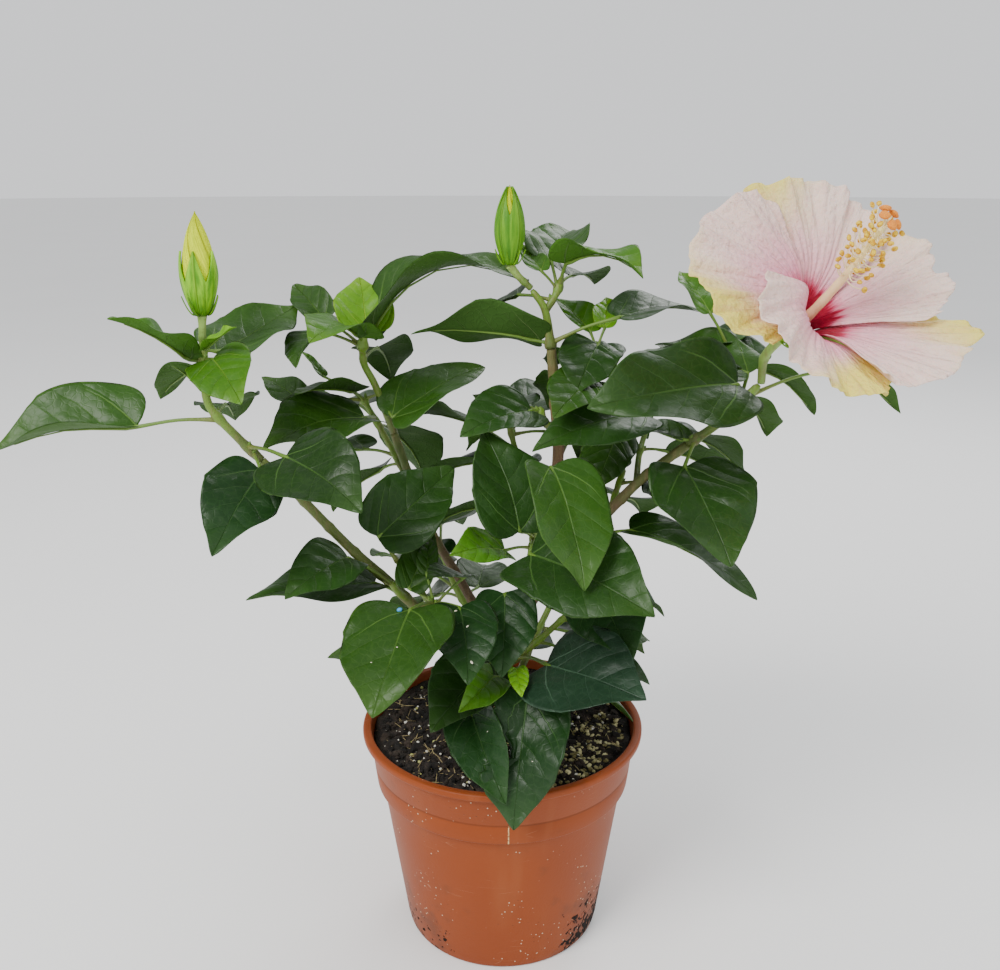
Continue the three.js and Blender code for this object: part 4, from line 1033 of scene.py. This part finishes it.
def leaf_veins(finish):
    """The midrib, the two long veins from the base, the side veins and the swell between them"""
    wander = finish.noise(100, 2) - 0.5
    across, along = finish.across() - 0.5, finish.along()
    off = across.size()
    edge = finish.mark("edge")
    midrib = (off + along * 0.006 + wander * 0.002).ramp(0.0125, 0.005)
    curved = along - off * off * 1.1 + wander * 0.05
    basal = (curved - off * 0.85).size().ramp(0.012, 0.004)
    phase = (curved - off * 0.7) * SIDE_VEINS + across.ramp(-0.001, 0.001) * 0.45
    near = (phase.part() - 0.5).size() * 2.0
    side = near.ramp(0.94, 0.99) * phase.ramp(0.55, 0.75) * 0.45
    fading = edge.ramp(0.95, 0.5)
    veins = midrib.most(basal.most(side) * fading)
    return veins, near, edge, along


def shaded(light, factor):
    """A colour as light, made darker or lighter"""
    return [value * factor for value in light[:3]] + [1.0]


def leaf_finish(name, light, vein, gloss):
    """The upper skin of a leaf: a waxy green with pale veins, a faint net between them and a
    painted highlight along its edge
    """
    finish = Finish(name, roughness=gloss, specular_ior_level=0.28)
    veins, near, edge, along = leaf_veins(finish)
    network = finish.cells(280).ramp(0.1, 0.02)
    clouds, mottle, swell = finish.noise(30, 3), finish.noise(500, 3), finish.noise(75, 2)
    finish.paint(finish.mark("tone"), shaded(light, 0.72), shaded(light, 1.25),
                 (clouds.ramp(0.35, 0.7) * 0.5, light), (along.ramp(0.6, 1.0) * 0.25, vein),
                 (network * 0.06 + mottle.ramp(0.5, 0.8) * 0.08, vein),
                 (veins * along.ramp(1.15, 0.0) * 0.62, vein),
                 # painted highlight: a pale line along the margin
                 (edge.ramp(0.955, 0.995) * 0.5, vein))
    finish.set(roughness=clouds * 0.2 + mottle * 0.08 + (gloss - 0.14))
    finish.relief(swell * 1.9 - near * near * 0.4 - network * 0.035 - veins * 0.22
                  + mottle * 0.07, 0.001)
    return finish


def underside_finish(name, light):
    """The lower skin: paler, dull, with the veins standing out"""
    finish = Finish(name, roughness=0.7, specular_ior_level=0.15)
    veins, near, edge, along = leaf_veins(finish)
    finish.paint(finish.noise(60, 3) * 0.5, light, shaded(light, 0.8),
                 (veins * 0.4, (110, 138, 80)))
    finish.relief(veins + near * 0.2 + finish.cells(280).ramp(0.1, 0.02) * 0.2, 0.0006)
    return finish


for tint, (colour, vein, gloss) in LEAF_TINTS.items():
    light = linear(*colour)
    paler = [0.6 * own + 0.4 * pale for own, pale in zip(light, linear(*PALE_UNDERSIDE))]
    blade_heap, stood_for = Heap(), set()
    for row, shoot in enumerate(shoots):
        for place, leaf in enumerate(shoot.leaves):
            if leaf.tint == tint:
                add_blade(blade_heap, leaf, np.random.default_rng(100 * row + place))
                stood_for.add(shoot.node)
    skins = [leaf_finish(f"{tint}_leaf", light, vein, gloss),
             underside_finish(f"{tint}_leaf_underside", paler)]
    dress(f"{tint}_leaves", blade_heap, skins, sorted(stood_for))


# Shoots and leaf stalks: round and green, thicker at both ends, and running on as the midrib
# under each blade. Every stalk has a small bud in its axil.
TWIG_SIDES = 10
STALK_SIDES = 8
STALK_RADII = np.array([1.5, 1.15, 0.9, 0.82, 0.8, 0.8, 0.82, 0.9, 1.0])
RIB_RADII = np.array([0.8, 0.62, 0.5, 0.4, 0.3, 0.2])
RIB_SHARES = [0.06, 0.16, 0.3, 0.46, 0.64, 0.82]
AXIL_BUD_HEIGHTS = (0, 1.1, 2.2, 3.4)
AXIL_BUD_RADII = [0.7, 1.0, 0.8, 0.1]

twig_skin = bark_finish("shoot_skin", (78, 92, 34), (102, 136, 40), 0.3, 0.5)
stalk_skin = Finish("leaf_stalk_skin", roughness=0.5)
stalk_skin.paint(stalk_skin.noise(90, 3), (78, 110, 30), (106, 140, 48),
                 (stalk_skin.along().ramp(0.35, 0.0) * 0.4, (122, 96, 60)))
stalk_skin.relief(stalk_skin.noise(900, 2, (1, 1, 0.2)), 0.0002)

rib_stations = np.searchsorted(STATIONS[:, 0], RIB_SHARES)
twig_heap, stalk_heap = Heap(), Heap()
for shoot in shoots:
    path, shares, _ = shoot.curve.even(1.6)
    girth = shoot.foot + (shoot.tip - shoot.foot) * shares
    for leaf in shoot.leaves:
        girth = girth * (1 + 0.22 * hump(np.linalg.norm(path - leaf.seat, axis=1), 2))
    girth[-1] *= 0.6
    twig_heap.add(*tube(path, girth, TWIG_SIDES))
    for leaf in shoot.leaves:
        scale = 0.55 + 0.45 * min(1.0, leaf.blade / 50)
        rise = 0.04 * np.linalg.norm(leaf.base - leaf.seat) * np.array([0, 0, 1.0])
        stalk = Curve([leaf.seat, leaf.seat * 0.5 + leaf.base * 0.5 + rise, leaf.base])
        path = [stalk.at(share) for share in np.linspace(0, 1, len(STALK_RADII))]
        sunk = 0.9 * (RIB_RADII * scale)[:, None] - 0.1
        path += list(leaf.rib[rib_stations] - leaf.rib_up[rib_stations] * sunk)
        stalk_heap.add(*tube(path, np.concatenate([STALK_RADII, RIB_RADII]) * scale, STALK_SIDES))
        out = unit(leaf.base - leaf.seat)
        way = unit(out * 0.5 + unit(shoot.curve.at(1.0) - shoot.curve.at(0.9)))
        bud_foot = leaf.seat + out * shoot.foot * 0.6
        axil = [bud_foot + way * height for height in AXIL_BUD_HEIGHTS]
        stalk_heap.add(*tube(axil, AXIL_BUD_RADII, 6))
foliage_nodes = dict.fromkeys(shoot.node for shoot in shoots)
dress("green_shoots", twig_heap, [twig_skin], foliage_nodes)
dress("leaf_stalks", stalk_heap, [stalk_skin], [])


# Flower: five broad, thin petals round a crimson throat, each with one edge over and one under its
# neighbour. They are pinkish white, yellow towards the covered edge, finely rayed and ruffled.
FLOWER_SEAT = np.array([116.5, -42.5, 310.7])
FLOWER_HEADING = -45
FLOWER_PITCH = 36
PETALS = 5
PETAL_LENGTHS = [67, 61, 63, 66, 59]
PETAL_FOOT = (3.7, 2.3)
PETAL_LEAVES_AT = 22
PETAL_OPENS_BY = 34
PETAL_SPREAD = 47
PETAL_FOOT_SPREAD = 33
PETAL_TILT = -3.6
PETAL_CURLED = 4
PETAL_CURLED_SPREAD = 62
PETAL_CURL_LIFT = 9
PETAL_FIRST_ANGLE = 145
PETAL_OPENNESS = [104, 69, 46, 43, 77]
PETAL_STEP = 72
PETAL_THICKNESS = 0.45
PETAL_ROWS = 46
PETAL_COLUMNS = 91
RUFFLES = 14
RUFFLE_HEIGHT = 2
PETAL_YELLOW = [1.0, 0.8, 0.35, 0.8, 1.4]
PETAL_PALENESS = [0.1, 0.8, 0.9, 0.7, 0.2]
PETAL_POINTS = {1: (-0.62, 0.07), 3: (-0.5, 0.09)}

flower_axes = frame_of(FLOWER_HEADING, FLOWER_PITCH)


def round_axis(origin, axes, radius, turn, height):
    """Points round the first of three axes, by radius, turn in radians and height along it"""
    radius, turn, height = np.broadcast_arrays(radius, turn, height)
    return (origin + height[..., None] * axes[0] + (radius * np.cos(turn))[..., None] * axes[1]
            + (radius * np.sin(turn))[..., None] * axes[2])


def flower_point(radius, turn, height):
    """Points in the flower's own frame: radius, turn in degrees and height along its axis"""
    return round_axis(FLOWER_SEAT, flower_axes, radius, np.radians(turn), height)


def opening_arc(distance, foot, start, end, opens_by):
    """Radius and height along a petal that leaves the cup steeply and then opens"""
    radius, height = foot[0] + 0 * distance, foot[1] + 0 * distance
    steps = 24
    for step in range(steps):
        run = (step + 0.5) / steps * distance
        angle = np.radians(start + (end - start) * smooth(run, 0, opens_by))
        radius = radius + np.sin(angle) * distance / steps
        height = height + np.cos(angle) * distance / steps
    return radius, height


def petal_points(place, along, side):
    """The middle surface of a petal, its ruffles running on from one petal to the next"""
    curled = np.maximum(0, side) * (place == PETAL_CURLED)
    full_spread = PETAL_SPREAD + (PETAL_CURLED_SPREAD - PETAL_SPREAD) * curled
    spread = PETAL_FOOT_SPREAD + (full_spread - PETAL_FOOT_SPREAD) * smooth(along, 0, 0.42)
    around = place + spread * side / PETAL_STEP
    outline = 1 - 0.22 * np.abs(side) ** 3
    outline = outline + 0.012 * np.sin(9 * side + 2 * place) + 0.007 * np.sin(23 * side + place)
    if place in PETAL_POINTS:
        middle, height = PETAL_POINTS[place]
        outline = outline + height * hump(side - middle, 0.16)
    distance = PETAL_LENGTHS[place] * along * outline
    openness = np.interp(around % PETALS, range(PETALS + 1), PETAL_OPENNESS + PETAL_OPENNESS[:1])
    radius, height = opening_arc(distance, PETAL_FOOT, PETAL_LEAVES_AT, openness, PETAL_OPENS_BY)
    tilt = math.radians(PETAL_TILT) * side
    wave = 2 * math.pi * around / PETALS
    ruffle = RUFFLE_HEIGHT * along ** 2 * np.sin(RUFFLES * wave)
    ruffle = ruffle + 0.9 * smooth(along, 0.55, 1) * np.sin(37 * wave + 9 * along)
    ruffle = ruffle + 0.35 * smooth(along, 0.75, 1) * np.sin(83 * wave + 5 * along)
    ruffle = ruffle + 0.3 * smooth(along, 0.2, 0.5) * np.sin(61 * wave + 2 * np.sin(9 * along))
    lift = PETAL_CURL_LIFT * curled ** 2 * smooth(along, 0.1, 0.6)
    turn = PETAL_FIRST_ANGLE - PETAL_STEP * around
    return flower_point(radius * np.cos(tilt) + height * np.sin(tilt), turn,
                        height * np.cos(tilt) - radius * np.sin(tilt) + ruffle + lift)


def sheet_grid(columns, rows, top=1):
    """How far across a sheet each of its points is, from -1 to 1, and how far along it"""
    return np.meshgrid(np.linspace(-1, 1, columns), np.linspace(0, top, rows))


def add_sheet(heap, middle, thickness, uv, **marks):
    """A thin closed skin on both sides of a grid of points"""
    rows, columns = middle.shape[:2]
    normal = np.cross(np.gradient(middle, axis=1), np.gradient(middle, axis=0))
    normal /= np.maximum(np.linalg.norm(normal, axis=2, keepdims=True), 1e-9)
    half = 0.5 * np.broadcast_to(thickness, (rows, columns))[..., None] * normal
    upper = grid_faces(rows, columns)
    under = rows * columns
    lower = [[corner + under for corner in face[::-1]] for face in upper]
    border = list(range(columns)) + [row * columns + columns - 1 for row in range(1, rows)]
    border += list(range(under - 2, under - columns - 1, -1))
    border += [row * columns for row in range(rows - 2, 0, -1)]
    edge = [[a + under, b + under, b, a] for a, b in zip(border, border[1:] + border[:1])]
    doubled = {name: np.tile(np.ravel(values), 2) for name, values in marks.items()}
    heap.add([middle + half, middle - half], upper + lower + edge, [uv, uv], **doubled)


petal = Finish("petal_skin", roughness=0.6, subsurface_weight=0.1, subsurface_scale=0.003,
               specular_ior_level=0.25)
petal_up, paleness = petal.along(), petal.mark("paleness")
rays, fine_rays, crinkle = petal.streaks(4, 46, 2.2), petal.streaks(3, 120, 5), petal.noise(420, 3)
flush = (petal_up + rays * 0.3).ramp(1.05, 0.4) * (0.85 - paleness * 0.3)
yellowed = (petal.mark("yellow") + (rays - 0.5) * 0.5).ramp(0.1, 0.95)
eye_reach = petal_up + paleness * 0.08 + (rays - 0.5) * 0.16 + (fine_rays - 0.5) * 0.12
petal.paint(petal.noise(40, 3), (236, 208, 198), (226, 190, 180),
            (paleness * 0.6, (232, 212, 200)), (flush, (232, 142, 178)),
            (yellowed * 0.92, (226, 210, 86)),
            (fine_rays.ramp(0.48, 0.7) * 0.22, (206, 140, 142)),
            (eye_reach.ramp(0.46, 0.3), (212, 60, 114)),
            (eye_reach.ramp(0.39, 0.31), petal.mixed(fine_rays, (136, 4, 34), (190, 16, 62))))
petal.set(roughness=crinkle * 0.15 + 0.52)
petal.relief(rays * 1.4 + fine_rays * 0.9 + crinkle * 0.85, 0.0014)

petal_side, petal_run = sheet_grid(PETAL_COLUMNS, PETAL_ROWS)
margin = np.maximum(petal_run, 0.92 * np.abs(petal_side))
covered = smooth(petal_run, 0.35, 0.95) * smooth(petal_side, 0.45, -0.75)
petal_heap = Heap()
for place in range(PETALS):
    yellow = PETAL_YELLOW[place] * (covered + 0.15 * smooth(margin, 0.9, 1))
    spread_uv = (place * PETAL_STEP + petal_side * PETAL_SPREAD) / 360
    add_sheet(petal_heap, petal_points(place, petal_run, petal_side),
              PETAL_THICKNESS * (1.3 - petal_run ** 3), paired(spread_uv, petal_run),
              yellow=yellow, paleness=np.full(yellow.shape, PETAL_PALENESS[place]))
dress("petals", petal_heap, [petal], [f"petal_{place + 1}" for place in range(PETALS)])


# Column: the tube of joined stamens, cream and flushed at its foot. Fine pale filaments with golden
# kidney-shaped anthers stand out of its outer half, and five round orange stigma pads end it.
COLUMN_LENGTH = 56
COLUMN_RISE = 14
COLUMN_FOOT_HEIGHT = 2.2
COLUMN_RADII = (2.3, 1.1)
COLUMN_RINGS = 34
COLUMN_SIDES = 16
STAMENS = 62
GOLDEN_ANGLE = 137.5
ANTHER_HALVES = (1.35, 1.1, 0.9)
STIGMA_PADS = 5
STIGMA_HALVES = (1.2, 2.3, 2.1)


def column_point(share, radius, turn):
    height = COLUMN_FOOT_HEIGHT + (COLUMN_LENGTH - COLUMN_FOOT_HEIGHT) * share
    return flower_point(radius, turn, height) + COLUMN_RISE * share ** 1.4 * flower_axes[2]


def thread(points, thick, thin, sides):
    """A fine tube along a short curve"""
    curve = Curve(points)
    path = [curve.at(share) for share in np.linspace(0, 1, 7)]
    return tube(path, np.linspace(thick, thin, len(path)), sides)


def blob(centre, way, halves, seed):
    """A round grain: its half lengths along a way, and across it in two directions"""
    way = unit(np.asarray(way, float))
    side = unit(np.cross(way, (0.31, 0.42, 0.85)))
    pitch, turn = np.meshgrid(np.linspace(-1.35, 1.35, 7), full_turn(8), indexing="ij")
    bump = 1 + 0.1 * np.sin(3 * turn + seed) * np.cos(2 * pitch + seed)
    points = (centre + halves[0] * np.sin(pitch)[..., None] * way
              + halves[1] * (bump * np.cos(pitch) * np.cos(turn))[..., None] * side
              + halves[2] * (bump * np.cos(pitch) * np.sin(turn))[..., None] * np.cross(way, side))
    return points, closed_faces(*pitch.shape)


column = Finish("column_skin", roughness=0.5, subsurface_weight=0.1, subsurface_scale=0.002)
column_up = column.along()
column.paint(column_up.ramp(0.05, 0.5), (214, 128, 104), (238, 204, 148),
             (column_up.ramp(0.5, 0.95), (240, 224, 150)),
             (column.noise(500, 3) * 0.3, (250, 236, 200)))
column.relief(column.noise(700, 3, (1, 1, 0.3)), 0.0003)
filament = mottled("filament_skin", 0.5, 200, 2, (240, 226, 160), (246, 236, 196))
anther = mottled("anther_pollen", 0.85, 700, 3, (208, 150, 10), (246, 214, 60), (0.35, 0.65))
anther.relief(anther.cells(2600, "F1"), 0.0003)
stigma = mottled("stigma_velvet", 0.75, 900, 3, (226, 116, 14), (244, 164, 52))
stigma.relief(stigma.cells(3000, "F1"), 0.0003)

column_shares = np.linspace(0, 1, COLUMN_RINGS)
column_path = [column_point(share, 0, 0) for share in column_shares]
column_girth = np.linspace(*COLUMN_RADII, COLUMN_RINGS) * (1 + 0.05 * np.sin(40 * column_shares))
column_heap = Heap(*tube(column_path, column_girth, COLUMN_SIDES))
dice = np.random.default_rng(77)
for stamen in range(STAMENS):
    share = 0.55 + 0.43 * (stamen / (STAMENS - 1)) ** 0.8
    turn = GOLDEN_ANGLE * stamen + dice.uniform(-20, 20)
    reach = dice.uniform(4.6, 9.8)
    foot = column_point(share, 0.8, turn)
    bend = column_point(share + 0.01, reach * 0.55, turn)
    end = column_point(share + dice.uniform(0.03, 0.09), reach, turn + dice.uniform(-12, 12))
    column_heap.add(*thread([foot, bend, end], 0.3, 0.2, 6), 1)
    column_heap.add(*blob(end, dice.normal(size=3), ANTHER_HALVES, stamen), finish=2)
for pad in range(STIGMA_PADS):
    turn = 360 / STIGMA_PADS * pad + 20
    foot, end = column_point(0.98, 0.3, turn), column_point(1.08, 4.0, turn)
    column_heap.add(*thread([foot, column_point(1.04, 1.4, turn), end], 0.5, 0.38, 8), 1)
    column_heap.add(*blob(end, end - foot, STIGMA_HALVES, pad), finish=3)
dress("stamen_column", column_heap, [column, filament, anther, stigma], ["column"])


# Calyx and flower stalk: a green knob on the stalk's end, five pointed sepals that hold the petals'
# feet, and seven fine bracts below them. All are matt green with finely lined skin.
SEPALS = 5
BRACTS = 7
SEPAL_LENGTH = 27
SEPAL_FOOT = (4.9, 0.6)
SEPAL_OPENING = (26, 104, 30)
SEPAL_WALL = 0.5
BRACT_LENGTH = 13
BRACT_FOOT = (3.4, -2.2)
BRACT_OPENING = (62, 20, 12)
KNOB_OUTLINE = [(0.4, -3), (2.2, -3), (3.0, -2.2), (4.2, -1), (5.0, 0.4), (5.3, 1.6), (0.4, 1.6)]
KNOB_SIDES = 28
STALK_FOOT = np.array([110.8, -30.3, 288.1])
PEDICEL_SIDES = 14

calyx = Finish("calyx_skin", roughness=0.55)
calyx_lines = calyx.streaks(3, 30, 3)
calyx.paint(calyx_lines.ramp(0.35, 0.65), (106, 160, 26), (158, 204, 52),
            (calyx.along().ramp(0.75, 1.0) * 0.5, (104, 146, 44)))
calyx.relief(calyx_lines + calyx.noise(900, 2) * 0.4, 0.0005)

knob_radius, knob_height = np.array(KNOB_OUTLINE).T[:, :, None]
knob_turn = np.linspace(0, 360, KNOB_SIDES, endpoint=False)[None, :]
calyx_heap = Heap(flower_point(knob_radius, knob_turn, knob_height),
                  closed_faces(len(KNOB_OUTLINE), KNOB_SIDES))
sepal_side, sepal_run = sheet_grid(15, 20, 0.985)
for sepal in range(SEPALS):
    radius, height = opening_arc(SEPAL_LENGTH * sepal_run, SEPAL_FOOT, *SEPAL_OPENING)
    narrowed = (1 - 0.97 * sepal_run) ** 0.6
    rib = 0.35 * hump(sepal_side, 0.16)
    turn = 360 / SEPALS * (sepal + 0.2) + 37 * sepal_side * narrowed
    add_sheet(calyx_heap, flower_point(radius + 0.3 * rib, turn, height - rib), SEPAL_WALL,
              paired(sepal_side * narrowed * 0.5, sepal_run))
bract_side, bract_run = sheet_grid(5, 12)
for bract in range(BRACTS):
    radius, height = opening_arc(BRACT_LENGTH * bract_run, BRACT_FOOT, *BRACT_OPENING)
    turn = 360 / BRACTS * (bract + 0.4) + 60 * bract_side * (1 - 0.9 * bract_run) / (radius + 1)
    add_sheet(calyx_heap, flower_point(radius, turn, height), SEPAL_WALL,
              paired(bract_side * 0.2, bract_run))
dress("flower_cup", calyx_heap, [calyx], ["flower_calyx"])

green_skin = bark_finish("flower_stalk_skin", (104, 134, 56), (146, 178, 86), 0.5, 0.5)
stalk_top = flower_point(0, 0, -2.4)
stalk_bend = STALK_FOOT * 0.45 + stalk_top * 0.55 + [-2.5, 2.5, 0]
stalk_path, stalk_shares, _ = Curve([STALK_FOOT, stalk_bend, stalk_top]).even(0.9)
knuckle = 0.35 * hump(stalk_shares - 0.45, 0.06)
pedicel_heap = Heap(*tube(stalk_path, 1.7 + 0.4 * stalk_shares + knuckle, PEDICEL_SIDES))
dress("flower_pedicel", pedicel_heap, [green_skin], ["flower_stalk"])


# Buds: furled yellow petals in a green calyx of five joined sepals, with fine bracts round its
# foot and a green stalk. The left one is about to open and the middle one is still closed.

# A bud is its name, its stalk's foot, its seat, heading and rise, length, radius, how far up it its
# sepals' tips and the notches between them reach, the first tip's turn and how dark its calyx is.
BUDS = [
    ("bud_left", (-130, -22, 302.3), (-129, -22, 317), (90, 88), 43, 8, 0.62, 0.3, 18, 0),
    ("bud_centre", (12.5, -0.1, 324.9), (3, -5, 337), (0, 90), 33, 6.7, 0.96, 0.6, 0, 0.8),
]
BUD_SIDES = 90
CALYX_WALL = 0.7


def bud_radius(share, radius):
    """Fullest at two fifths of the bud's length, then drawn to a point"""
    low = 0.5 + 0.5 * np.sin(math.pi / 2 * np.minimum(share / 0.4, 1))
    high = np.cos(math.pi / 2 * np.clip((share - 0.4) / 0.6, 0, 1)) ** 0.75
    return radius * np.where(share < 0.4, low, high)


furled = Finish("furled_petal_skin", roughness=0.6, specular_ior_level=0.08)
furled_lines = furled.streaks(5, 26, 3)
furled_turn = furled.across() + furled_lines * 0.06
furled_edge = (furled_turn.part() - 0.5).size().ramp(0.44, 0.49)
furled.paint(furled_lines.ramp(0.4, 0.62), (204, 226, 0), (236, 250, 0),
             (furled_edge * 0.5, (168, 160, 0)),
             (furled.along().ramp(0.5, 0.2) * 0.4, (196, 226, 10)))
furled.relief(furled_lines + furled.noise(600, 3) * 0.3 - furled_edge * 0.6, 0.001)
bud_calyx = Finish("bud_calyx_skin", roughness=0.5, specular_ior_level=0.3)
bud_lines = bud_calyx.streaks(4, 22, 2)
bud_rib = ((bud_calyx.across() * 5.0).part() - 0.5).size().ramp(0.09, 0.0)
bud_calyx.paint(bud_lines.ramp(0.35, 0.65), (78, 142, 4), (138, 198, 10),
                (bud_rib * 0.3, (170, 214, 40)), (bud_calyx.mark("shade") * 0.75, (52, 106, 4)))
bud_calyx.relief(bud_lines * 0.7 + bud_rib + bud_calyx.noise(900, 2) * 0.3, 0.0005)

ring_turn = full_turn(BUD_SIDES)[None, :]
for name, foot, seat, aim, length, radius, tip_reach, notch_reach, first_tip, dark in BUDS:
    bud_axes = frame_of(*aim)

    def bud_point(height, ring_radius, turn):
        return round_axis(np.array(seat), bud_axes, ring_radius, turn, height)

    rise_share = np.concatenate([np.linspace(0.03, 0.9, 40), [0.93, 0.955, 0.975]])[:, None]
    furl = ring_turn * SEPALS / (2 * math.pi) + rise_share * 1.6
    swirl = 0.05 * (furl % 1 - 0.5) + 0.02 * np.sin(11 * ring_turn + 14 * rise_share)
    petal_radius = bud_radius(rise_share, radius) - CALYX_WALL - 0.5
    petal_radius = petal_radius * (1 + swirl * smooth(rise_share, 0.1, 0.4))
    furled_heap = Heap(bud_point(length * rise_share, np.maximum(petal_radius, 0.25), ring_turn),
                       closed_faces(len(rise_share), BUD_SIDES), paired(furl, rise_share))
    dress(name + "_furled_petals", furled_heap, [furled], [name + "_petals"])

    sepal_place = (ring_turn - math.radians(first_tip)) * SEPALS / (2 * math.pi)
    tooth = np.abs(1 - 2 * (sepal_place % 1))
    levels = np.linspace(0.02, 1, 26)[:, None]
    wall_height = levels * (length * (notch_reach + (tip_reach - notch_reach) * tooth ** 1.15))
    wall = bud_radius(wall_height / length, radius)
    seam = 0.35 * hump(tooth, 0.09) - 0.2 * hump(1 - tooth, 0.12)
    cup = np.concatenate([
        bud_point(-1.5, np.full_like(ring_turn, 2.2), ring_turn),
        bud_point(-0.6, np.full_like(ring_turn, 3.4), ring_turn),
        bud_point(wall_height, wall + 0.1 - seam * smooth(levels, 0, 0.3), ring_turn),
        bud_point(wall_height, wall - CALYX_WALL, ring_turn)[::-1]])
    run = np.concatenate([[[0.0], [0.0]], levels, levels[::-1]])
    shade = np.maximum(dark, 0.8 - smooth(run, 0, 0.35))
    cup_heap = Heap()
    cup_heap.add(cup, closed_faces(len(cup), BUD_SIDES), paired(sepal_place / SEPALS + 0.5, run),
                 shade=np.ravel(np.broadcast_to(shade, (len(cup), BUD_SIDES))))
    for bract in range(BRACTS):
        bract_turn = 2 * math.pi * (bract + 0.3) / BRACTS
        bract_radius = 3.2 + (bud_radius(0.16, radius) - 1.6) * bract_run ** 0.7
        tapering = 0.9 * bract_side * (1 - 0.85 * bract_run) / bract_radius
        bract_height = -1.2 + 0.19 * length * bract_run ** 1.2
        add_sheet(cup_heap, bud_point(bract_height, bract_radius, bract_turn + tapering),
                  SEPAL_WALL, paired(bract_side * 0.1, 1 - bract_run),
                  shade=np.full(bract_run.shape, 0.7))
    dress(name + "_cup", cup_heap, [bud_calyx], [name + "_calyx"])

    stalk_end = bud_point(-1.4, 0, 0)
    bend = np.array(foot) * 0.4 + stalk_end * 0.6 - bud_axes[0] * 0.8
    path, shares, _ = Curve([foot, bend, stalk_end]).even(0.8)
    knuckle = 0.3 * hump(shares - 0.3, 0.07) + 0.5 * shares ** 6
    stem_heap = Heap(*tube(path, 1.45 + 0.25 * shares + knuckle, PEDICEL_SIDES))
    dress(name + "_pedicel", stem_heap, [green_skin], [name + "_stalk"])


# Litter: what has dropped on the plant. A curled brown leaf lies on the compost, and a blue grain
# of fertiliser and a few white crumbs of perlite lie on the low front leaves.
DEAD_LEAF = Leaf(Curve([(10, -20, 107), (9, -20, 108), (8, -20, 108.5)]),
                 (1, 186, 20, 2, 19, -6, 8, 12, 70, 0.62, 30), "dark")
CRUMBS = [("foliage_front_left", 4, 0.1, -0.2, 0.5), ("foliage_front_left", 4, 0.325, 0.1, 0.6),
          ("foliage_front_left", 4, 0.775, 0.05, 0.7), ("foliage_front_left", 3, 0.42, 0.05, 0.3),
          ("foliage_front_left", 3, 0.6, -0.35, 0.3), ("foliage_front_low", 3, 0.5, 0.3, 0.35),
          ("foliage_front_low", 3, 0.72, -0.3, 0.4), ("foliage_front_low", 2, 0.35, 0.4, 0.35)]
GRANULE = ("foliage_front_left", 3, 0.07, -0.25, 1.2)

dead_skin = Finish("dead_leaf", roughness=0.75)
dead_veins = dead_skin.noise(60, 5)
dead_skin.paint(dead_veins, (44, 28, 16), (112, 78, 46))
dead_skin.relief(dead_veins + dead_skin.noise(500, 3) * 0.4, 0.0008)
dead_heap = Heap()
add_blade(dead_heap, DEAD_LEAF, np.random.default_rng(3))
dress("dead_leaf", dead_heap, [dead_skin, dead_skin], [])

white_crumb = mottled("white_crumbs", 0.8, 400, 3, (228, 218, 184), (246, 242, 226))
blue_granule = mottled("blue_granule", 0.45, 600, 3, (40, 128, 196), (96, 176, 222))


def resting(node, place, share, across, size):
    """The middle of a grain of a given half length that lies on a leaf"""
    leaf = leaf_of[node, place]
    return leaf.point(np.array(share), np.array(across), BLADE_THICKNESS / 2 + size * 0.6)


litter_heap = Heap()
for place, crumb in enumerate(CRUMBS):
    size = crumb[-1]
    halves = (1.5 * size, 0.8 * size, 0.6 * size)
    way = (math.cos(place), math.sin(place), 0.2)
    litter_heap.add(*blob(resting(*crumb), way, halves, place))
litter_heap.add(*blob(resting(*GRANULE), (1, 0.4, 0.2), (1.3, 1.1, 1.0), 5), finish=1)
dress("litter", litter_heap, [white_crumb, blue_granule], [])
